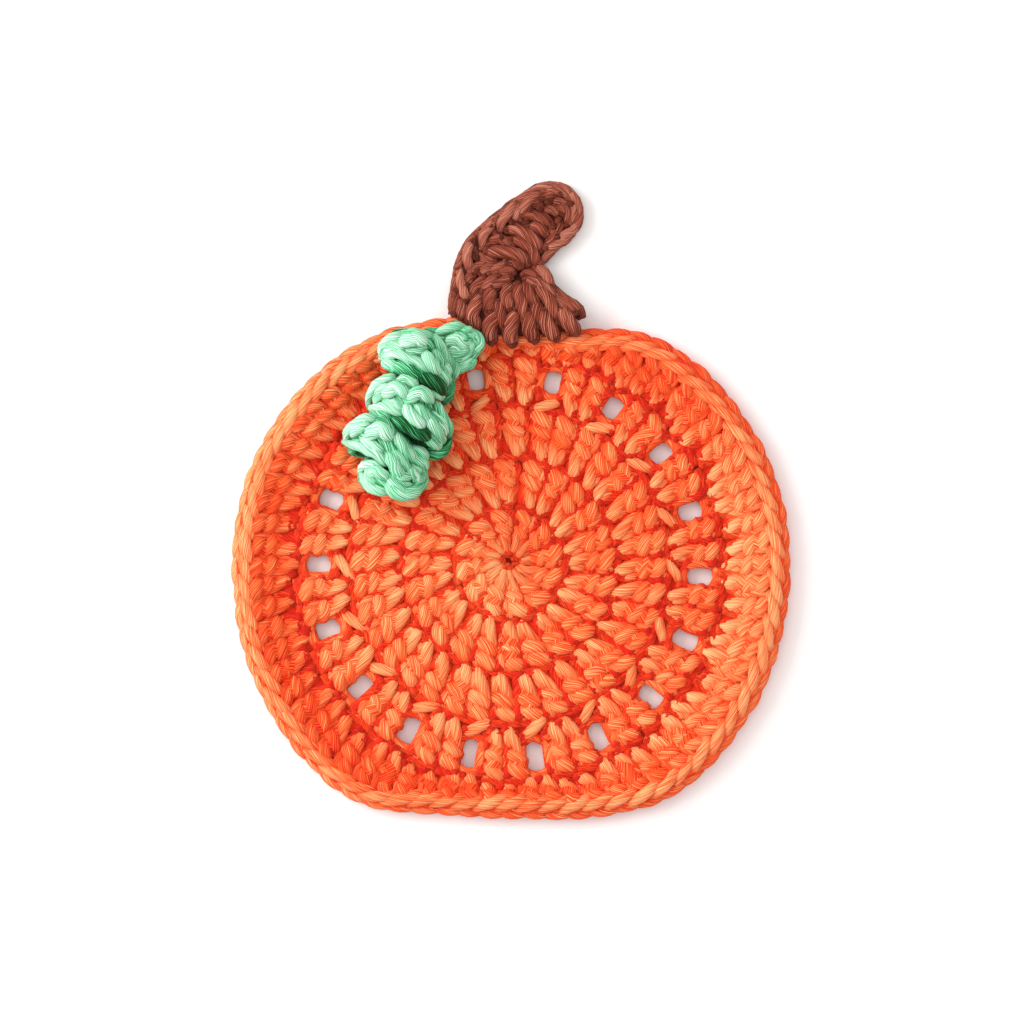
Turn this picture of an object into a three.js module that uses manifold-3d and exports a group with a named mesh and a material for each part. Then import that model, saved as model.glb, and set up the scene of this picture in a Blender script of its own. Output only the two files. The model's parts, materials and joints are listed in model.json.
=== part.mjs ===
// A crocheted cotton coaster: a round mat with a stem and a curled tendril.
// Millimetres, +Z up, +Y towards the stem. The mat lies flat on the table at height 0.

import * as THREE from "three";
import { mergeVertices } from "three/addons/utils/BufferGeometryUtils.js";
import Module from "manifold-3d";

const wasm = await Module();
wasm.setup();

// Driving dimensions of the mat
const CREST_HEIGHT = 4.6;
const GROOVE_HEIGHT = 3.2;
const PIT_HEIGHT = 2.4;
const RIM_WIDTH = 4.9;
const SEWING_GAP = 0.3;

// The fourth round is groups of two stitches with an eyelet between them. The last
// group closes the round and takes what the others leave of the full turn.
const GROUPS = 18;
const FIRST_EYELET_ANGLE = 13.5;
const GROUP_ANGLE = 19.8;
const EYELET_RADIUS = 42.0;
const EYELET_SHIFT = { down: 2.1, right: 0.6 };

// Degrees by which the groups at the sides of the mat lie nearer to its bottom
const GROUP_SAG = 1.8;

// Outline of the mat: distance from the middle of the rounds, by angle clockwise from +Y
const OUTLINE = [
  { angle: 0, radius: 53.6 },
  { angle: 18, radius: 54.7 },
  { angle: 30, radius: 59.2 },
  { angle: 45, radius: 60.9 },
  { angle: 70, radius: 62.5 },
  { angle: 95, radius: 63.0 },
  { angle: 120, radius: 63.8 },
  { angle: 145, radius: 64.0 },
  { angle: 163, radius: 60.0 },
  { angle: 180, radius: 57.4 },
  { angle: 197, radius: 58.8 },
  { angle: 213, radius: 63.7 },
  { angle: 240, radius: 62.9 },
  { angle: 265, radius: 61.7 },
  { angle: 290, radius: 61.2 },
  { angle: 315, radius: 60.0 },
  { angle: 335, radius: 57.8 },
  { angle: 348, radius: 55.8 },
];

// Rounds of stitches from the middle out. A round's outer radius is larger by its
// shift at the bottom of the mat, and smaller by it at the top.
const ROUNDS = [
  { stitches: 12, radius: 11.6, shift: 0, pointsPerStitch: 3, phase: 0.0 },
  { stitches: 24, radius: 23.2, shift: 0.9, pointsPerStitch: 3, phase: 0.3 },
  { stitches: 36, radius: 34.7, shift: 0.8, pointsPerStitch: 3, phase: 0.85 },
];
const GROUP_ROUND = { radius: 46.2, shift: 1.8 };
const OUTER_ROUND = { stitches: 72, pointsPerStitch: 2 };

// Rise of a post from its foot (along 0) to its head (along 1)
const POST_ROWS = [
  { along: 0.06, rise: 0.05 },
  { along: 0.34, rise: 0.7 },
  { along: 0.66, rise: 1.0 },
  { along: 0.92, rise: 0.5 },
];
const POST_LEAN = 0.35;

// Points across one group of the fourth round, in parts of the group
const GROUP_POINTS = [
  { across: 0.0, ridge: 0.4 },
  { across: 0.13, ridge: 0.3 },
  { across: 0.24, ridge: 1.0 },
  { across: 0.38, ridge: 1.0 },
  { across: 0.5, ridge: 0.0 },
  { across: 0.62, ridge: 1.0 },
  { across: 0.76, ridge: 1.0 },
  { across: 0.87, ridge: 0.3 },
];

// Corners of an eyelet from its middle: across is clockwise, outward is away from the middle
const EYELET_CORNERS = [
  { across: -2.0, outward: -3.3 },
  { across: 0.3, outward: -2.9 },
  { across: 2.1, outward: -2.1 },
  { across: 2.2, outward: 2.8 },
  { across: 1.2, outward: 3.4 },
  { across: -1.4, outward: 3.3 },
  { across: -2.2, outward: 2.5 },
];

// Section of the rim's chain of slip stitches, from its inner side over the top to the table.
// Link is how much a row rises and swells in the middle of each chain link.
const RIM_ROWS = [
  { inset: 4.7, height: 3.3, link: 0, swell: 0, lean: 0 },
  { inset: 3.6, height: 3.8, link: 0.8, swell: 0, lean: -0.25 },
  { inset: 2.6, height: 3.5, link: 0, swell: 0, lean: 0 },
  { inset: 1.5, height: 3.6, link: 0.7, swell: 0, lean: 0.25 },
  { inset: 0.35, height: 2.1, link: 0, swell: 0.35, lean: 0.25 },
  { inset: 1.3, height: 0, link: 0, swell: 0.35, lean: 0.25 },
];

// The stem: the pit that its stitches fan out from, and its outline around that pit
const STEM_PIT = { right: 2.5, up: 64.3 };
const STEM_THICKNESS = 4.0;
const STEM_STITCHES = 30;
const STEM_SLOPE = 13.0;
const STEM_OUTLINE = [
  { right: 6.7, up: 20.8 },
  { right: 2.2, up: 20.0 },
  { right: -4.2, up: 15.3 },
  { right: -9.4, up: 9.8 },
  { right: -13.6, up: 5.1 },
  { right: -15.2, up: 1.1 },
  { right: -15.9, up: -2.7 },
  { right: -17.4, up: -9.6 },
  { right: -12.0, up: -11.6 },
  { right: -6.7, up: -14.9 },
  { right: -2.0, up: -15.8 },
  { right: 3.1, up: -15.2 },
  { right: 7.8, up: -14.7 },
  { right: 12.0, up: -13.4 },
  { right: 14.7, up: -9.8 },
  { right: 10.4, up: -4.6 },
  { right: 6.6, up: -1.0 },
  { right: 5.2, up: 2.8 },
  { right: 10.3, up: 7.8 },
  { right: 13.8, up: 12.9 },
  { right: 12.8, up: 17.1 },
  { right: 9.9, up: 19.9 },
];

// Rise of the stem's top from its pit (along 0) to its edge (along 1)
const STEM_ROWS = [
  { along: 0.2, fan: 0.6, border: 0.5 },
  { along: 0.45, fan: 0.85, border: 0.8 },
  { along: 0.68, fan: 1.0, border: 0.45 },
  { along: 0.87, fan: 0.85, border: 1.0 },
];
const STEM_FAN_ANGLES = { from: 105, to: 245 };

// The tendril: where the middle of its corkscrew runs over the mat, turn by turn. Turn 0
// points straight up from the mat. Half width is half of the strip, along the corkscrew.
const TENDRIL_TURNS = [
  { turn: 0.3, right: -13.0, up: 47.5, halfWidth: 4.5 },
  { turn: 0.75, right: -20.8, up: 46.9, halfWidth: 4.2 },
  { turn: 1.25, right: -21.7, up: 40.4, halfWidth: 4.2 },
  { turn: 1.75, right: -22.5, up: 35.2, halfWidth: 4.2 },
  { turn: 2.25, right: -22.2, up: 29.2, halfWidth: 3.7 },
  { turn: 2.75, right: -28.2, up: 26.8, halfWidth: 3.4 },
  { turn: 3.25, right: -26.5, up: 21.8, halfWidth: 3.2 },
  { turn: 3.75, right: -25.6, up: 19.6, halfWidth: 3.1 },
  { turn: 4.12, right: -25.0, up: 16.5, halfWidth: 2.9 },
];
const TENDRIL_SIDE_RADIUS = 5.8;
const TENDRIL_TOP_RADIUS = 3.4;
const TENDRIL_HALF_THICKNESS = 3.0;
const TENDRIL_BUMP = 0.5;
const TENDRIL_STITCHES_PER_TURN = 7;
const TENDRIL_SIDES = 10;
const TENDRIL_ROUNDNESS = 0.75;

const DEGREES = Math.PI / 180;
const FULL_TURN = 360;

// A point at an angle clockwise from +Y and a distance from the middle of the rounds
function polarPoint(angle, radius, height) {
  return new THREE.Vector3(
    radius * Math.sin(angle * DEGREES),
    radius * Math.cos(angle * DEGREES),
    height,
  );
}

// The mat's outline as one smooth closed curve, with its points as (angle, radius)
const outlineRadius = (() => {
  const wrapped = [
    ...OUTLINE.slice(-2).map((row) => ({ ...row, angle: row.angle - FULL_TURN })),
    ...OUTLINE,
    ...OUTLINE.slice(0, 2).map((row) => ({ ...row, angle: row.angle + FULL_TURN })),
  ];
  return (angle) => {
    const turned = THREE.MathUtils.euclideanModulo(angle, FULL_TURN);
    const index = wrapped.findLastIndex((row) => row.angle <= turned);
    const [before, start, end, after] = wrapped.slice(index - 1, index + 3);
    const span = end.angle - start.angle;
    const part = (turned - start.angle) / span;
    const startSlope = (span * (end.radius - before.radius)) / (end.angle - before.angle);
    const endSlope = (span * (after.radius - start.radius)) / (after.angle - start.angle);
    const square = part * part;
    const cube = square * part;
    return (
      (2 * cube - 3 * square + 1) * start.radius +
      (cube - 2 * square + part) * startSlope +
      (3 * square - 2 * cube) * end.radius +
      (cube - square) * endSlope
    );
  };
})();

// Outer radius of a round at an angle
function roundRadius(round, angle) {
  return round.radius - round.shift * Math.cos(angle * DEGREES);
}

// Angle of a place counted in groups from the first eyelet
function groupAngle(groups) {
  const lastGroupAngle = FULL_TURN - GROUP_ANGLE * (GROUPS - 1);
  const evenGroups = Math.min(groups, GROUPS - 1);
  return (
    FIRST_EYELET_ANGLE + evenGroups * GROUP_ANGLE + (groups - evenGroups) * lastGroupAngle
  );
}

// The same for the fourth round, whose groups and eyelets hang a little lower
function saggedGroupAngle(groups) {
  const angle = groupAngle(groups);
  return angle + GROUP_SAG * Math.sin(angle * DEGREES);
}

// Two rings of points become a strip of triangles, also where their counts differ
function stripBetween(inner, outer) {
  const triangles = [];
  let i = 0;
  let j = 0;
  while (i < inner.length || j < outer.length) {
    const innerPoint = inner[i % inner.length];
    const outerPoint = outer[j % outer.length];
    const innerIsNext = (i + 0.5) / inner.length <= (j + 0.5) / outer.length;
    if (i < inner.length && (innerIsNext || j >= outer.length)) {
      triangles.push(innerPoint, inner[(i + 1) % inner.length], outerPoint);
      i += 1;
    } else {
      triangles.push(innerPoint, outer[(j + 1) % outer.length], outerPoint);
      j += 1;
    }
  }
  return triangles;
}

// A closed body from a first point, rings that follow each other, and a last point
function bodyOfRings(firstPoint, rings, lastPoint) {
  const chain = [[firstPoint], ...rings, [lastPoint]];
  const triangles = [];
  for (let k = 0; k + 1 < chain.length; k += 1) {
    triangles.push(...stripBetween(chain[k], chain[k + 1]));
  }
  const solid = [];
  for (let k = 0; k < triangles.length; k += 3) {
    const [a, b, c] = triangles.slice(k, k + 3);
    if (a !== b && b !== c && c !== a) {
      solid.push(a, b, c);
    }
  }
  return mergeVertices(new THREE.BufferGeometry().setFromPoints(solid), 1e-5);
}

function toManifold(geometry) {
  const bare = geometry.clone();
  bare.deleteAttribute("normal");
  bare.deleteAttribute("uv");
  const merged = mergeVertices(bare, 1e-5);
  return new wasm.Manifold(
    new wasm.Mesh({
      numProp: 3,
      vertProperties: new Float32Array(merged.attributes.position.array),
      triVerts: new Uint32Array(merged.index.array),
    }),
  );
}

function fromManifold(solid) {
  const mesh = solid.getMesh();
  const geometry = new THREE.BufferGeometry();
  geometry.setAttribute("position", new THREE.BufferAttribute(mesh.vertProperties, 3));
  geometry.setIndex(new THREE.BufferAttribute(mesh.triVerts, 1));
  return geometry;
}

// Height of the mat's face where a post rises by a part of the way from groove to crest
function faceHeight(rise) {
  return GROOVE_HEIGHT + (CREST_HEIGHT - GROOVE_HEIGHT) * rise;
}

// The rings of one plain round of posts between two radii, which are functions of the angle
function postRings(round, innerRadius, outerRadius, angleOf) {
  const points = round.stitches * round.pointsPerStitch;
  return POST_ROWS.map((row) =>
    Array.from({ length: points }, (_, i) => {
      const atGroove = i % round.pointsPerStitch === 0;
      const place = (i / round.pointsPerStitch + POST_LEAN * (row.along - 0.5)) / round.stitches;
      const angle = angleOf(place);
      const radius = THREE.MathUtils.lerp(innerRadius(angle), outerRadius(angle), row.along);
      return polarPoint(angle, radius, faceHeight(atGroove ? 0 : row.rise));
    }),
  );
}

// The rings of the fourth round: pairs of posts that lean apart from a shared foot
function groupRings(innerRadius, outerRadius) {
  return POST_ROWS.map((row) => {
    const spread = THREE.MathUtils.lerp(0.72, 1.04, Math.sqrt(row.along));
    return Array.from({ length: GROUPS * GROUP_POINTS.length }, (_, i) => {
      const group = Math.floor(i / GROUP_POINTS.length);
      const point = GROUP_POINTS[i % GROUP_POINTS.length];
      const across = point.across === 0 ? 0 : 0.5 + (point.across - 0.5) * spread;
      const angle = saggedGroupAngle(group + across);
      const radius = THREE.MathUtils.lerp(innerRadius(angle), outerRadius(angle), row.along);
      return polarPoint(angle, radius, faceHeight(point.ridge * row.rise));
    });
  });
}

// The rings of the rim's chain, ending on the table
function rimRings() {
  const points = OUTER_ROUND.stitches * OUTER_ROUND.pointsPerStitch;
  return RIM_ROWS.map((row) =>
    Array.from({ length: points }, (_, i) => {
      const inLink = i % OUTER_ROUND.pointsPerStitch;
      const place = (i / OUTER_ROUND.pointsPerStitch + row.lean) / OUTER_ROUND.stitches;
      const angle = groupAngle(place * GROUPS);
      const radius = outlineRadius(angle) - row.inset + row.swell * inLink;
      return polarPoint(angle, radius, row.height + row.link * inLink);
    }),
  );
}

// A prism through the mat, in the shape of one eyelet
function eyeletCutter(groups) {
  const angle = saggedGroupAngle(groups);
  const outline = new THREE.Shape(
    EYELET_CORNERS.map((corner) => new THREE.Vector2(corner.across, corner.outward)),
  );
  const depth = CREST_HEIGHT + 2;
  const prism = new THREE.ExtrudeGeometry(outline, { depth, bevelEnabled: false });
  const shift =
    EYELET_SHIFT.right * Math.sin(angle * DEGREES) - EYELET_SHIFT.down * Math.cos(angle * DEGREES);
  prism.translate(0, EYELET_RADIUS + shift, -1);
  prism.rotateZ(-angle * DEGREES);
  return prism;
}

function bodyGeometry() {
  const evenAngle = (round) => (place) => FULL_TURN * (place + round.phase / round.stitches);
  const outerRadiusOf = (round) => (angle) => roundRadius(round, angle);
  const rimInnerRadius = (angle) => outlineRadius(angle) - RIM_WIDTH;
  const rings = [];
  let innerRadius = () => 0;
  for (const round of ROUNDS) {
    rings.push(...postRings(round, innerRadius, outerRadiusOf(round), evenAngle(round)));
    innerRadius = outerRadiusOf(round);
  }
  rings.push(...groupRings(innerRadius, outerRadiusOf(GROUP_ROUND)));
  innerRadius = outerRadiusOf(GROUP_ROUND);
  const inGroups = (place) => groupAngle(place * GROUPS);
  rings.push(...postRings(OUTER_ROUND, innerRadius, rimInnerRadius, inGroups));
  rings.push(...rimRings());
  const middle = new THREE.Vector3(0, 0, PIT_HEIGHT);
  let solid = toManifold(bodyOfRings(middle, rings, new THREE.Vector3(0, 0, 0)));
  for (let eyelet = 0; eyelet < GROUPS; eyelet += 1) {
    solid = solid.subtract(toManifold(eyeletCutter(eyelet)));
  }
  return fromManifold(solid);
}

// Height of the stem's underside: over the rim of the mat, then down to the table beyond it
function stemRestHeight(point) {
  const edge = outlineRadius(0) + 1;
  const beyond = (point.y - edge) / STEM_SLOPE;
  const lift = CREST_HEIGHT + SEWING_GAP;
  return lift * (1 - THREE.MathUtils.smoothstep(beyond, 0, 1));
}

function stemGeometry() {
  const pit = new THREE.Vector3(STEM_PIT.right, STEM_PIT.up, 0);
  const corners = STEM_OUTLINE.map((row) => new THREE.Vector3(row.right, row.up, 0));
  const outline = new THREE.CatmullRomCurve3(corners.reverse(), true)
    .getSpacedPoints(2 * STEM_STITCHES)
    .slice(0, -1);
  const place = (edge, along, height) => {
    const point = pit.clone().addScaledVector(edge, along);
    point.z = stemRestHeight(point) + height;
    return point;
  };
  const topHeight = (edge, i, row) => {
    const angle = THREE.MathUtils.euclideanModulo(Math.atan2(edge.x, edge.y) / DEGREES, FULL_TURN);
    const inFan = angle > STEM_FAN_ANGLES.from && angle < STEM_FAN_ANGLES.to;
    const rise = inFan ? row.fan : row.border;
    const ridge = i % 2 === 0 ? 0.45 : 1;
    return STEM_THICKNESS * (0.6 + 0.4 * rise * ridge);
  };
  const top = STEM_ROWS.map((row) =>
    outline.map((edge, i) => place(edge, row.along, topHeight(edge, i, row))),
  );
  const side = outline.map((edge, i) => place(edge, i % 2 === 0 ? 0.97 : 1, STEM_THICKNESS / 2));
  const bottom = [0.93, 0.75, 0.5, 0.25].map((along) =>
    outline.map((edge) => place(edge, along, 0)),
  );
  const topMiddle = place(pit, 0, STEM_THICKNESS / 2);
  const bottomMiddle = place(pit, 0, 0);
  return bodyOfRings(topMiddle, [...top, side, ...bottom], bottomMiddle);
}

// A column of the tendril's table at a turn, on a smooth curve through its rows
function tendrilValue(turn, column) {
  const rows = TENDRIL_TURNS;
  const index = Math.max(0, rows.findLastIndex((row) => row.turn <= turn));
  const start = rows[Math.min(index, rows.length - 2)];
  const end = rows[Math.min(index, rows.length - 2) + 1];
  const part = (turn - start.turn) / (end.turn - start.turn);
  return THREE.MathUtils.lerp(start[column], end[column], part);
}

function tendrilGeometry() {
  const firstTurn = TENDRIL_TURNS.at(0).turn;
  const lastTurn = TENDRIL_TURNS.at(-1).turn;
  const ringsPerTurn = 2 * TENDRIL_STITCHES_PER_TURN;
  const ringCount = Math.round((lastTurn - firstTurn) * ringsPerTurn);
  const lift = CREST_HEIGHT + SEWING_GAP;
  const reach = TENDRIL_TOP_RADIUS + TENDRIL_HALF_THICKNESS + TENDRIL_BUMP;
  const ringPoint = (turn, side, size, bump) => {
    const facing = turn * 2 * Math.PI;
    const around = (side / TENDRIL_SIDES) * 2 * Math.PI;
    const aside = Math.sign(Math.sin(around)) * Math.abs(Math.sin(around)) ** TENDRIL_ROUNDNESS;
    const middleRadius =
      1 / Math.hypot(Math.sin(facing) / TENDRIL_SIDE_RADIUS, Math.cos(facing) / TENDRIL_TOP_RADIUS);
    const outside = Math.max(0, Math.cos(around));
    const radius =
      middleRadius + size * (TENDRIL_HALF_THICKNESS * Math.cos(around) + bump * outside);
    return new THREE.Vector3(
      tendrilValue(turn, "right") + radius * Math.sin(facing),
      tendrilValue(turn, "up") + size * tendrilValue(turn, "halfWidth") * aside,
      lift + reach + radius * Math.cos(facing),
    );
  };
  const rings = Array.from({ length: ringCount + 1 }, (_, k) => {
    const turn = THREE.MathUtils.lerp(firstTurn, lastTurn, k / ringCount);
    const size = k === 0 || k === ringCount ? 0.6 : 1;
    const bump = k % 2 === 0 ? 0 : TENDRIL_BUMP;
    return Array.from({ length: TENDRIL_SIDES }, (_unused, side) =>
      ringPoint(turn, -side, size, bump),
    );
  });
  const endPast = 0.02;
  const start = ringPoint(firstTurn - endPast, 0, 0, 0);
  const end = ringPoint(lastTurn + endPast, 0, 0, 0);
  return bodyOfRings(start, rings, end);
}

function cottonMesh(name, geometry, color, roughness) {
  const flatShaded = geometry.index ? geometry.toNonIndexed() : geometry;
  flatShaded.computeVertexNormals();
  const material = new THREE.MeshStandardMaterial({ color, roughness, metalness: 0 });
  const mesh = new THREE.Mesh(flatShaded, material);
  mesh.name = name;
  return mesh;
}

// The three pieces, moved together so that the middle of their box stands on the origin
const coaster = new THREE.Group();
coaster.add(cottonMesh("body", bodyGeometry(), 0xff6e32, 0.85));
coaster.add(cottonMesh("stem", stemGeometry(), 0x8e5040, 0.85));
coaster.add(cottonMesh("tendril", tendrilGeometry(), 0x5fd79b, 0.85));

const box = new THREE.Box3().setFromObject(coaster);
const middle = box.getCenter(new THREE.Vector3());
coaster.position.set(-middle.x, -middle.y, -box.min.z);

export default coaster;
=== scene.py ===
"""A crocheted cotton coaster, yarn by yarn: the round mat, its stem and its curled tendril.

Lengths are millimetres and angles degrees unless a name says otherwise. Angles on the mat
run clockwise from +Y, which points at the stem.
"""

from __future__ import annotations

import json
import logging
import math
from dataclasses import dataclass, field, replace
from enum import Enum
from typing import Sequence

import bpy
import numpy as np
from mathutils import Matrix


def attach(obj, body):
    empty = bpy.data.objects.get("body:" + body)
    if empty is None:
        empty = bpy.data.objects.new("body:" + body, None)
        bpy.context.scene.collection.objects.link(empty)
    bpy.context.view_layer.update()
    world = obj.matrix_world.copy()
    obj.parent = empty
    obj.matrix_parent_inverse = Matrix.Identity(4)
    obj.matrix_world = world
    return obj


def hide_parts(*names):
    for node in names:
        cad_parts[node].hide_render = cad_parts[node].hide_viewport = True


MM = 0.001
FULL_TURN = 360.0
# The camera: its distance from the height that it is set to, how far it stands towards the
# bottom of the photo from the origin, and that height
CAMERA_DISTANCE = 900.0
CAMERA_DOWN = 2.57
FOCUS_HEIGHT = 4.0
# From the seed of some strands' shifts to the seed of their tones
TONE_SEED_STEP = 10
# The mat's strands shift half as far in height as across, and the points of any strand
# wobble half as far as the strand shifts
SHIFT_WAYS = (1, 1, 0.5)
WOBBLE_PART = 0.5

log = logging.getLogger("coaster")

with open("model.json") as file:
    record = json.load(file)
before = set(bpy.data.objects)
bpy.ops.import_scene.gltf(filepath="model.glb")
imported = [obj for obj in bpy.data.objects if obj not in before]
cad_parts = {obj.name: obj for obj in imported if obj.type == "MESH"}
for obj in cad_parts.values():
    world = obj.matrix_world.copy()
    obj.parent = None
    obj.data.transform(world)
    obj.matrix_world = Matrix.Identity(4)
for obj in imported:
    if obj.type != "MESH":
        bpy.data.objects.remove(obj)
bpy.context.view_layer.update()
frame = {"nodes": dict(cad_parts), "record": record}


class Face(Enum):
    """Which face of the fabric a strand shows on; the value is the way that face looks."""

    TOP = 1.0
    UNDER = -1.0


def linear_colour(hex_colour: str) -> tuple[float, float, float, float]:
    """Turns an sRGB hex colour into linear red, green, blue and alpha.

    Args:
        hex_colour: Six hex digits after a number sign.

    Returns:
        The linear colour with alpha 1.
    """
    channels = (int(hex_colour[k : k + 2], 16) / 255 for k in (1, 3, 5))
    linear = (c / 12.92 if c <= 0.04045 else ((c + 0.055) / 1.055) ** 2.4 for c in channels)
    return (*linear, 1.0)


def add_node(
    tree: bpy.types.NodeTree,
    kind: str,
    settings: dict[str, object] | None = None,
    links: dict[object, object] | None = None,
) -> bpy.types.Node:
    """Adds a node with its settings and the links into it.

    Args:
        tree: The tree that gets the node.
        kind: The node's type name.
        settings: Node properties by name.
        links: The output socket, or the value, for each input name or number.

    Returns:
        The new node.
    """
    node = tree.nodes.new(kind)
    for name, value in (settings or {}).items():
        setattr(node, name, value)
    for key, source in (links or {}).items():
        socket = node.inputs[key]
        if isinstance(source, bpy.types.NodeSocket):
            tree.links.new(source, socket)
        else:
            socket.default_value = source
    return node


@dataclass(frozen=True)
class CottonFinish:
    """Mercerised cotton yarn, spun and plied: soft, matt, with bright thread backs.

    The eye gets fine pale threads with darker, more saturated lines between them, partly
    painted shade in the grooves, and a faint bloom at grazing angles from the loose fibres.
    The threads are drawn coarser than real ones, so that they show. A part is how far its
    pattern moves the colour along the ramp from pit to light, and a stop is where on that
    ramp a colour stands. Painted shade moves the colour down the ramp towards the deep and
    pit colours, and painted highlight up towards the light colour.
    """

    name: str
    slot: str
    light: str
    main: str
    deep: str
    pit: str
    threads: int = 22
    twist_length: float = 18.0
    roughness: float = 0.75
    sheen: float = 0.12
    bump_mm: float = 0.1
    strand_spacing: float = 57.0
    lengthways_scale: float = 0.16
    wander_scale: float = 0.9
    thread_wander: float = 1.6
    streak_scale: float = 1.3
    ridge_part: float = 0.5
    ridge_start: float = -0.4
    streak_part: float = 1.3
    tone_part: float = 0.05
    painted_shade_part: float = 0.42
    deep_stop: float = 0.18
    main_stop: float = 0.5
    light_stop: float = 0.95
    streak_height: float = 0.8

    def build(self) -> bpy.types.Material:
        """Makes the node material.

        Returns:
            The material, which reads the UV map and the attributes of a yarn mesh.
        """
        material = bpy.data.materials.new(self.name)
        material.use_nodes = True
        tree = material.node_tree
        tree.nodes.clear()

        def maths(kind: str, *values: object) -> bpy.types.NodeSocket:
            """Adds one step of arithmetic and gives its result."""
            links = dict(enumerate(values))
            return add_node(tree, "ShaderNodeMath", {"operation": kind}, links).outputs[0]

        uv = add_node(tree, "ShaderNodeUVMap", {"uv_map": YarnMesh.UV_NAME})
        split = add_node(tree, "ShaderNodeSeparateXYZ", links={0: uv.outputs[0]})
        tone = add_node(tree, "ShaderNodeAttribute", {"attribute_name": YarnMesh.TONE_NAME})
        painted_shade = add_node(tree, "ShaderNodeAttribute", {"attribute_name": YarnMesh.PAINTED_SHADE_NAME})
        around, along = split.outputs[0], split.outputs[1]
        turned = maths("MULTIPLY_ADD", along, 1 / self.twist_length, around)
        thread = maths("MULTIPLY", turned, float(self.threads))
        strand = maths("MULTIPLY", tone.outputs["Fac"], self.strand_spacing)
        drawn_out = maths("MULTIPLY", along, self.lengthways_scale)
        place = add_node(
            tree, "ShaderNodeCombineXYZ", links={0: thread, 1: drawn_out, 2: strand}
        ).outputs[0]

        def noise(scale: float, detail: float) -> bpy.types.NodeSocket:
            """Adds a noise that is drawn out along the threads and gives its value."""
            links = {"Vector": place, "Scale": scale, "Detail": detail}
            return add_node(tree, "ShaderNodeTexNoise", links=links).outputs[0]

        phase = maths("MULTIPLY_ADD", noise(self.wander_scale, 1.0), self.thread_wander, thread)
        wave = maths("COSINE", maths("MULTIPLY", phase, 2 * math.pi))
        ridge = maths("SQRT", maths("MULTIPLY_ADD", wave, 0.5, 0.5))
        streak = noise(self.streak_scale, 3.0)
        level = maths("MULTIPLY_ADD", ridge, self.ridge_part, self.ridge_start)
        level = maths("MULTIPLY_ADD", streak, self.streak_part, level)
        level = maths("MULTIPLY_ADD", tone.outputs["Fac"], self.tone_part, level)
        # Painted shade from the mesh moves the colour down the ramp towards deep and pit; where
        # negative it is painted highlight
        level = maths("MULTIPLY_ADD", painted_shade.outputs["Fac"], -self.painted_shade_part, level)
        ramp = add_node(tree, "ShaderNodeValToRGB", links={0: level})
        stops = ramp.color_ramp.elements
        stops[0].position, stops[0].color = 0.0, linear_colour(self.pit)
        stops[1].position, stops[1].color = self.light_stop, linear_colour(self.light)
        stops.new(self.deep_stop).color = linear_colour(self.deep)
        stops.new(self.main_stop).color = linear_colour(self.main)
        height = maths("MULTIPLY_ADD", streak, self.streak_height, ridge)
        bump = add_node(
            tree,
            "ShaderNodeBump",
            links={"Strength": 1.0, "Distance": self.bump_mm * MM, "Height": height},
        )
        shader = add_node(
            tree,
            "ShaderNodeBsdfPrincipled",
            links={
                "Base Color": ramp.outputs[0],
                "Roughness": self.roughness,
                "Sheen Weight": self.sheen,
                "Sheen Roughness": 0.4,
                "Sheen Tint": linear_colour(self.light),
                "IOR": 1.45,
                "Specular IOR Level": 0.3,
                "Normal": bump.outputs[0],
            },
        )
        add_node(tree, "ShaderNodeOutputMaterial", links={0: shader.outputs[0]})
        return material


@dataclass(frozen=True)
class Yarn:
    """A plied yarn's size, and how many faces go around it."""

    width: float = 2.5
    thickness: float = 2.0
    sides: int = 10


@dataclass(frozen=True)
class Bend:
    """A point that a strand passes, in a stitch's own sizes.

    Across is in stitch widths and grows clockwise. Along is in mm and grows outwards. Drop is
    how far it lies below the fabric's face, in mm, which also deepens its painted shade, and
    bulk is its width in parts of the yarn's. Pale is how much painted highlight it gets where
    the yarn faces the light, where 1 is the palest.
    """

    across: float
    along: float
    drop: float
    bulk: float = 1.0
    pale: float = 0.0


def through(points: np.ndarray, rings: int) -> np.ndarray:
    """Runs a smooth curve through each row of points.

    Args:
        points: Strands, their points, and the columns of each point.
        rings: How many samples each curve gets.

    Returns:
        The samples, in the same columns.
    """
    count = points.shape[1]
    before = 2 * points[:, :1] - points[:, 1:2]
    after = 2 * points[:, -1:] - points[:, -2:-1]
    padded = np.concatenate([before, points, after], axis=1)
    position = np.linspace(0, count - 1, rings)
    index = np.minimum(position.astype(int), count - 2)
    part = (position - index)[None, :, None]
    p0, p1, p2, p3 = (padded[:, index + k] for k in range(4))
    return 0.5 * (
        2 * p1
        + (p2 - p0) * part
        + (2 * p0 - 5 * p1 + 4 * p2 - p3) * part**2
        + (3 * p1 - p0 - 3 * p2 + p3) * part**3
    )


def unit(vectors: np.ndarray) -> np.ndarray:
    """Scales vectors in the last column to length one."""
    return vectors / np.maximum(np.linalg.norm(vectors, axis=-1, keepdims=True), 1e-9)


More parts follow.
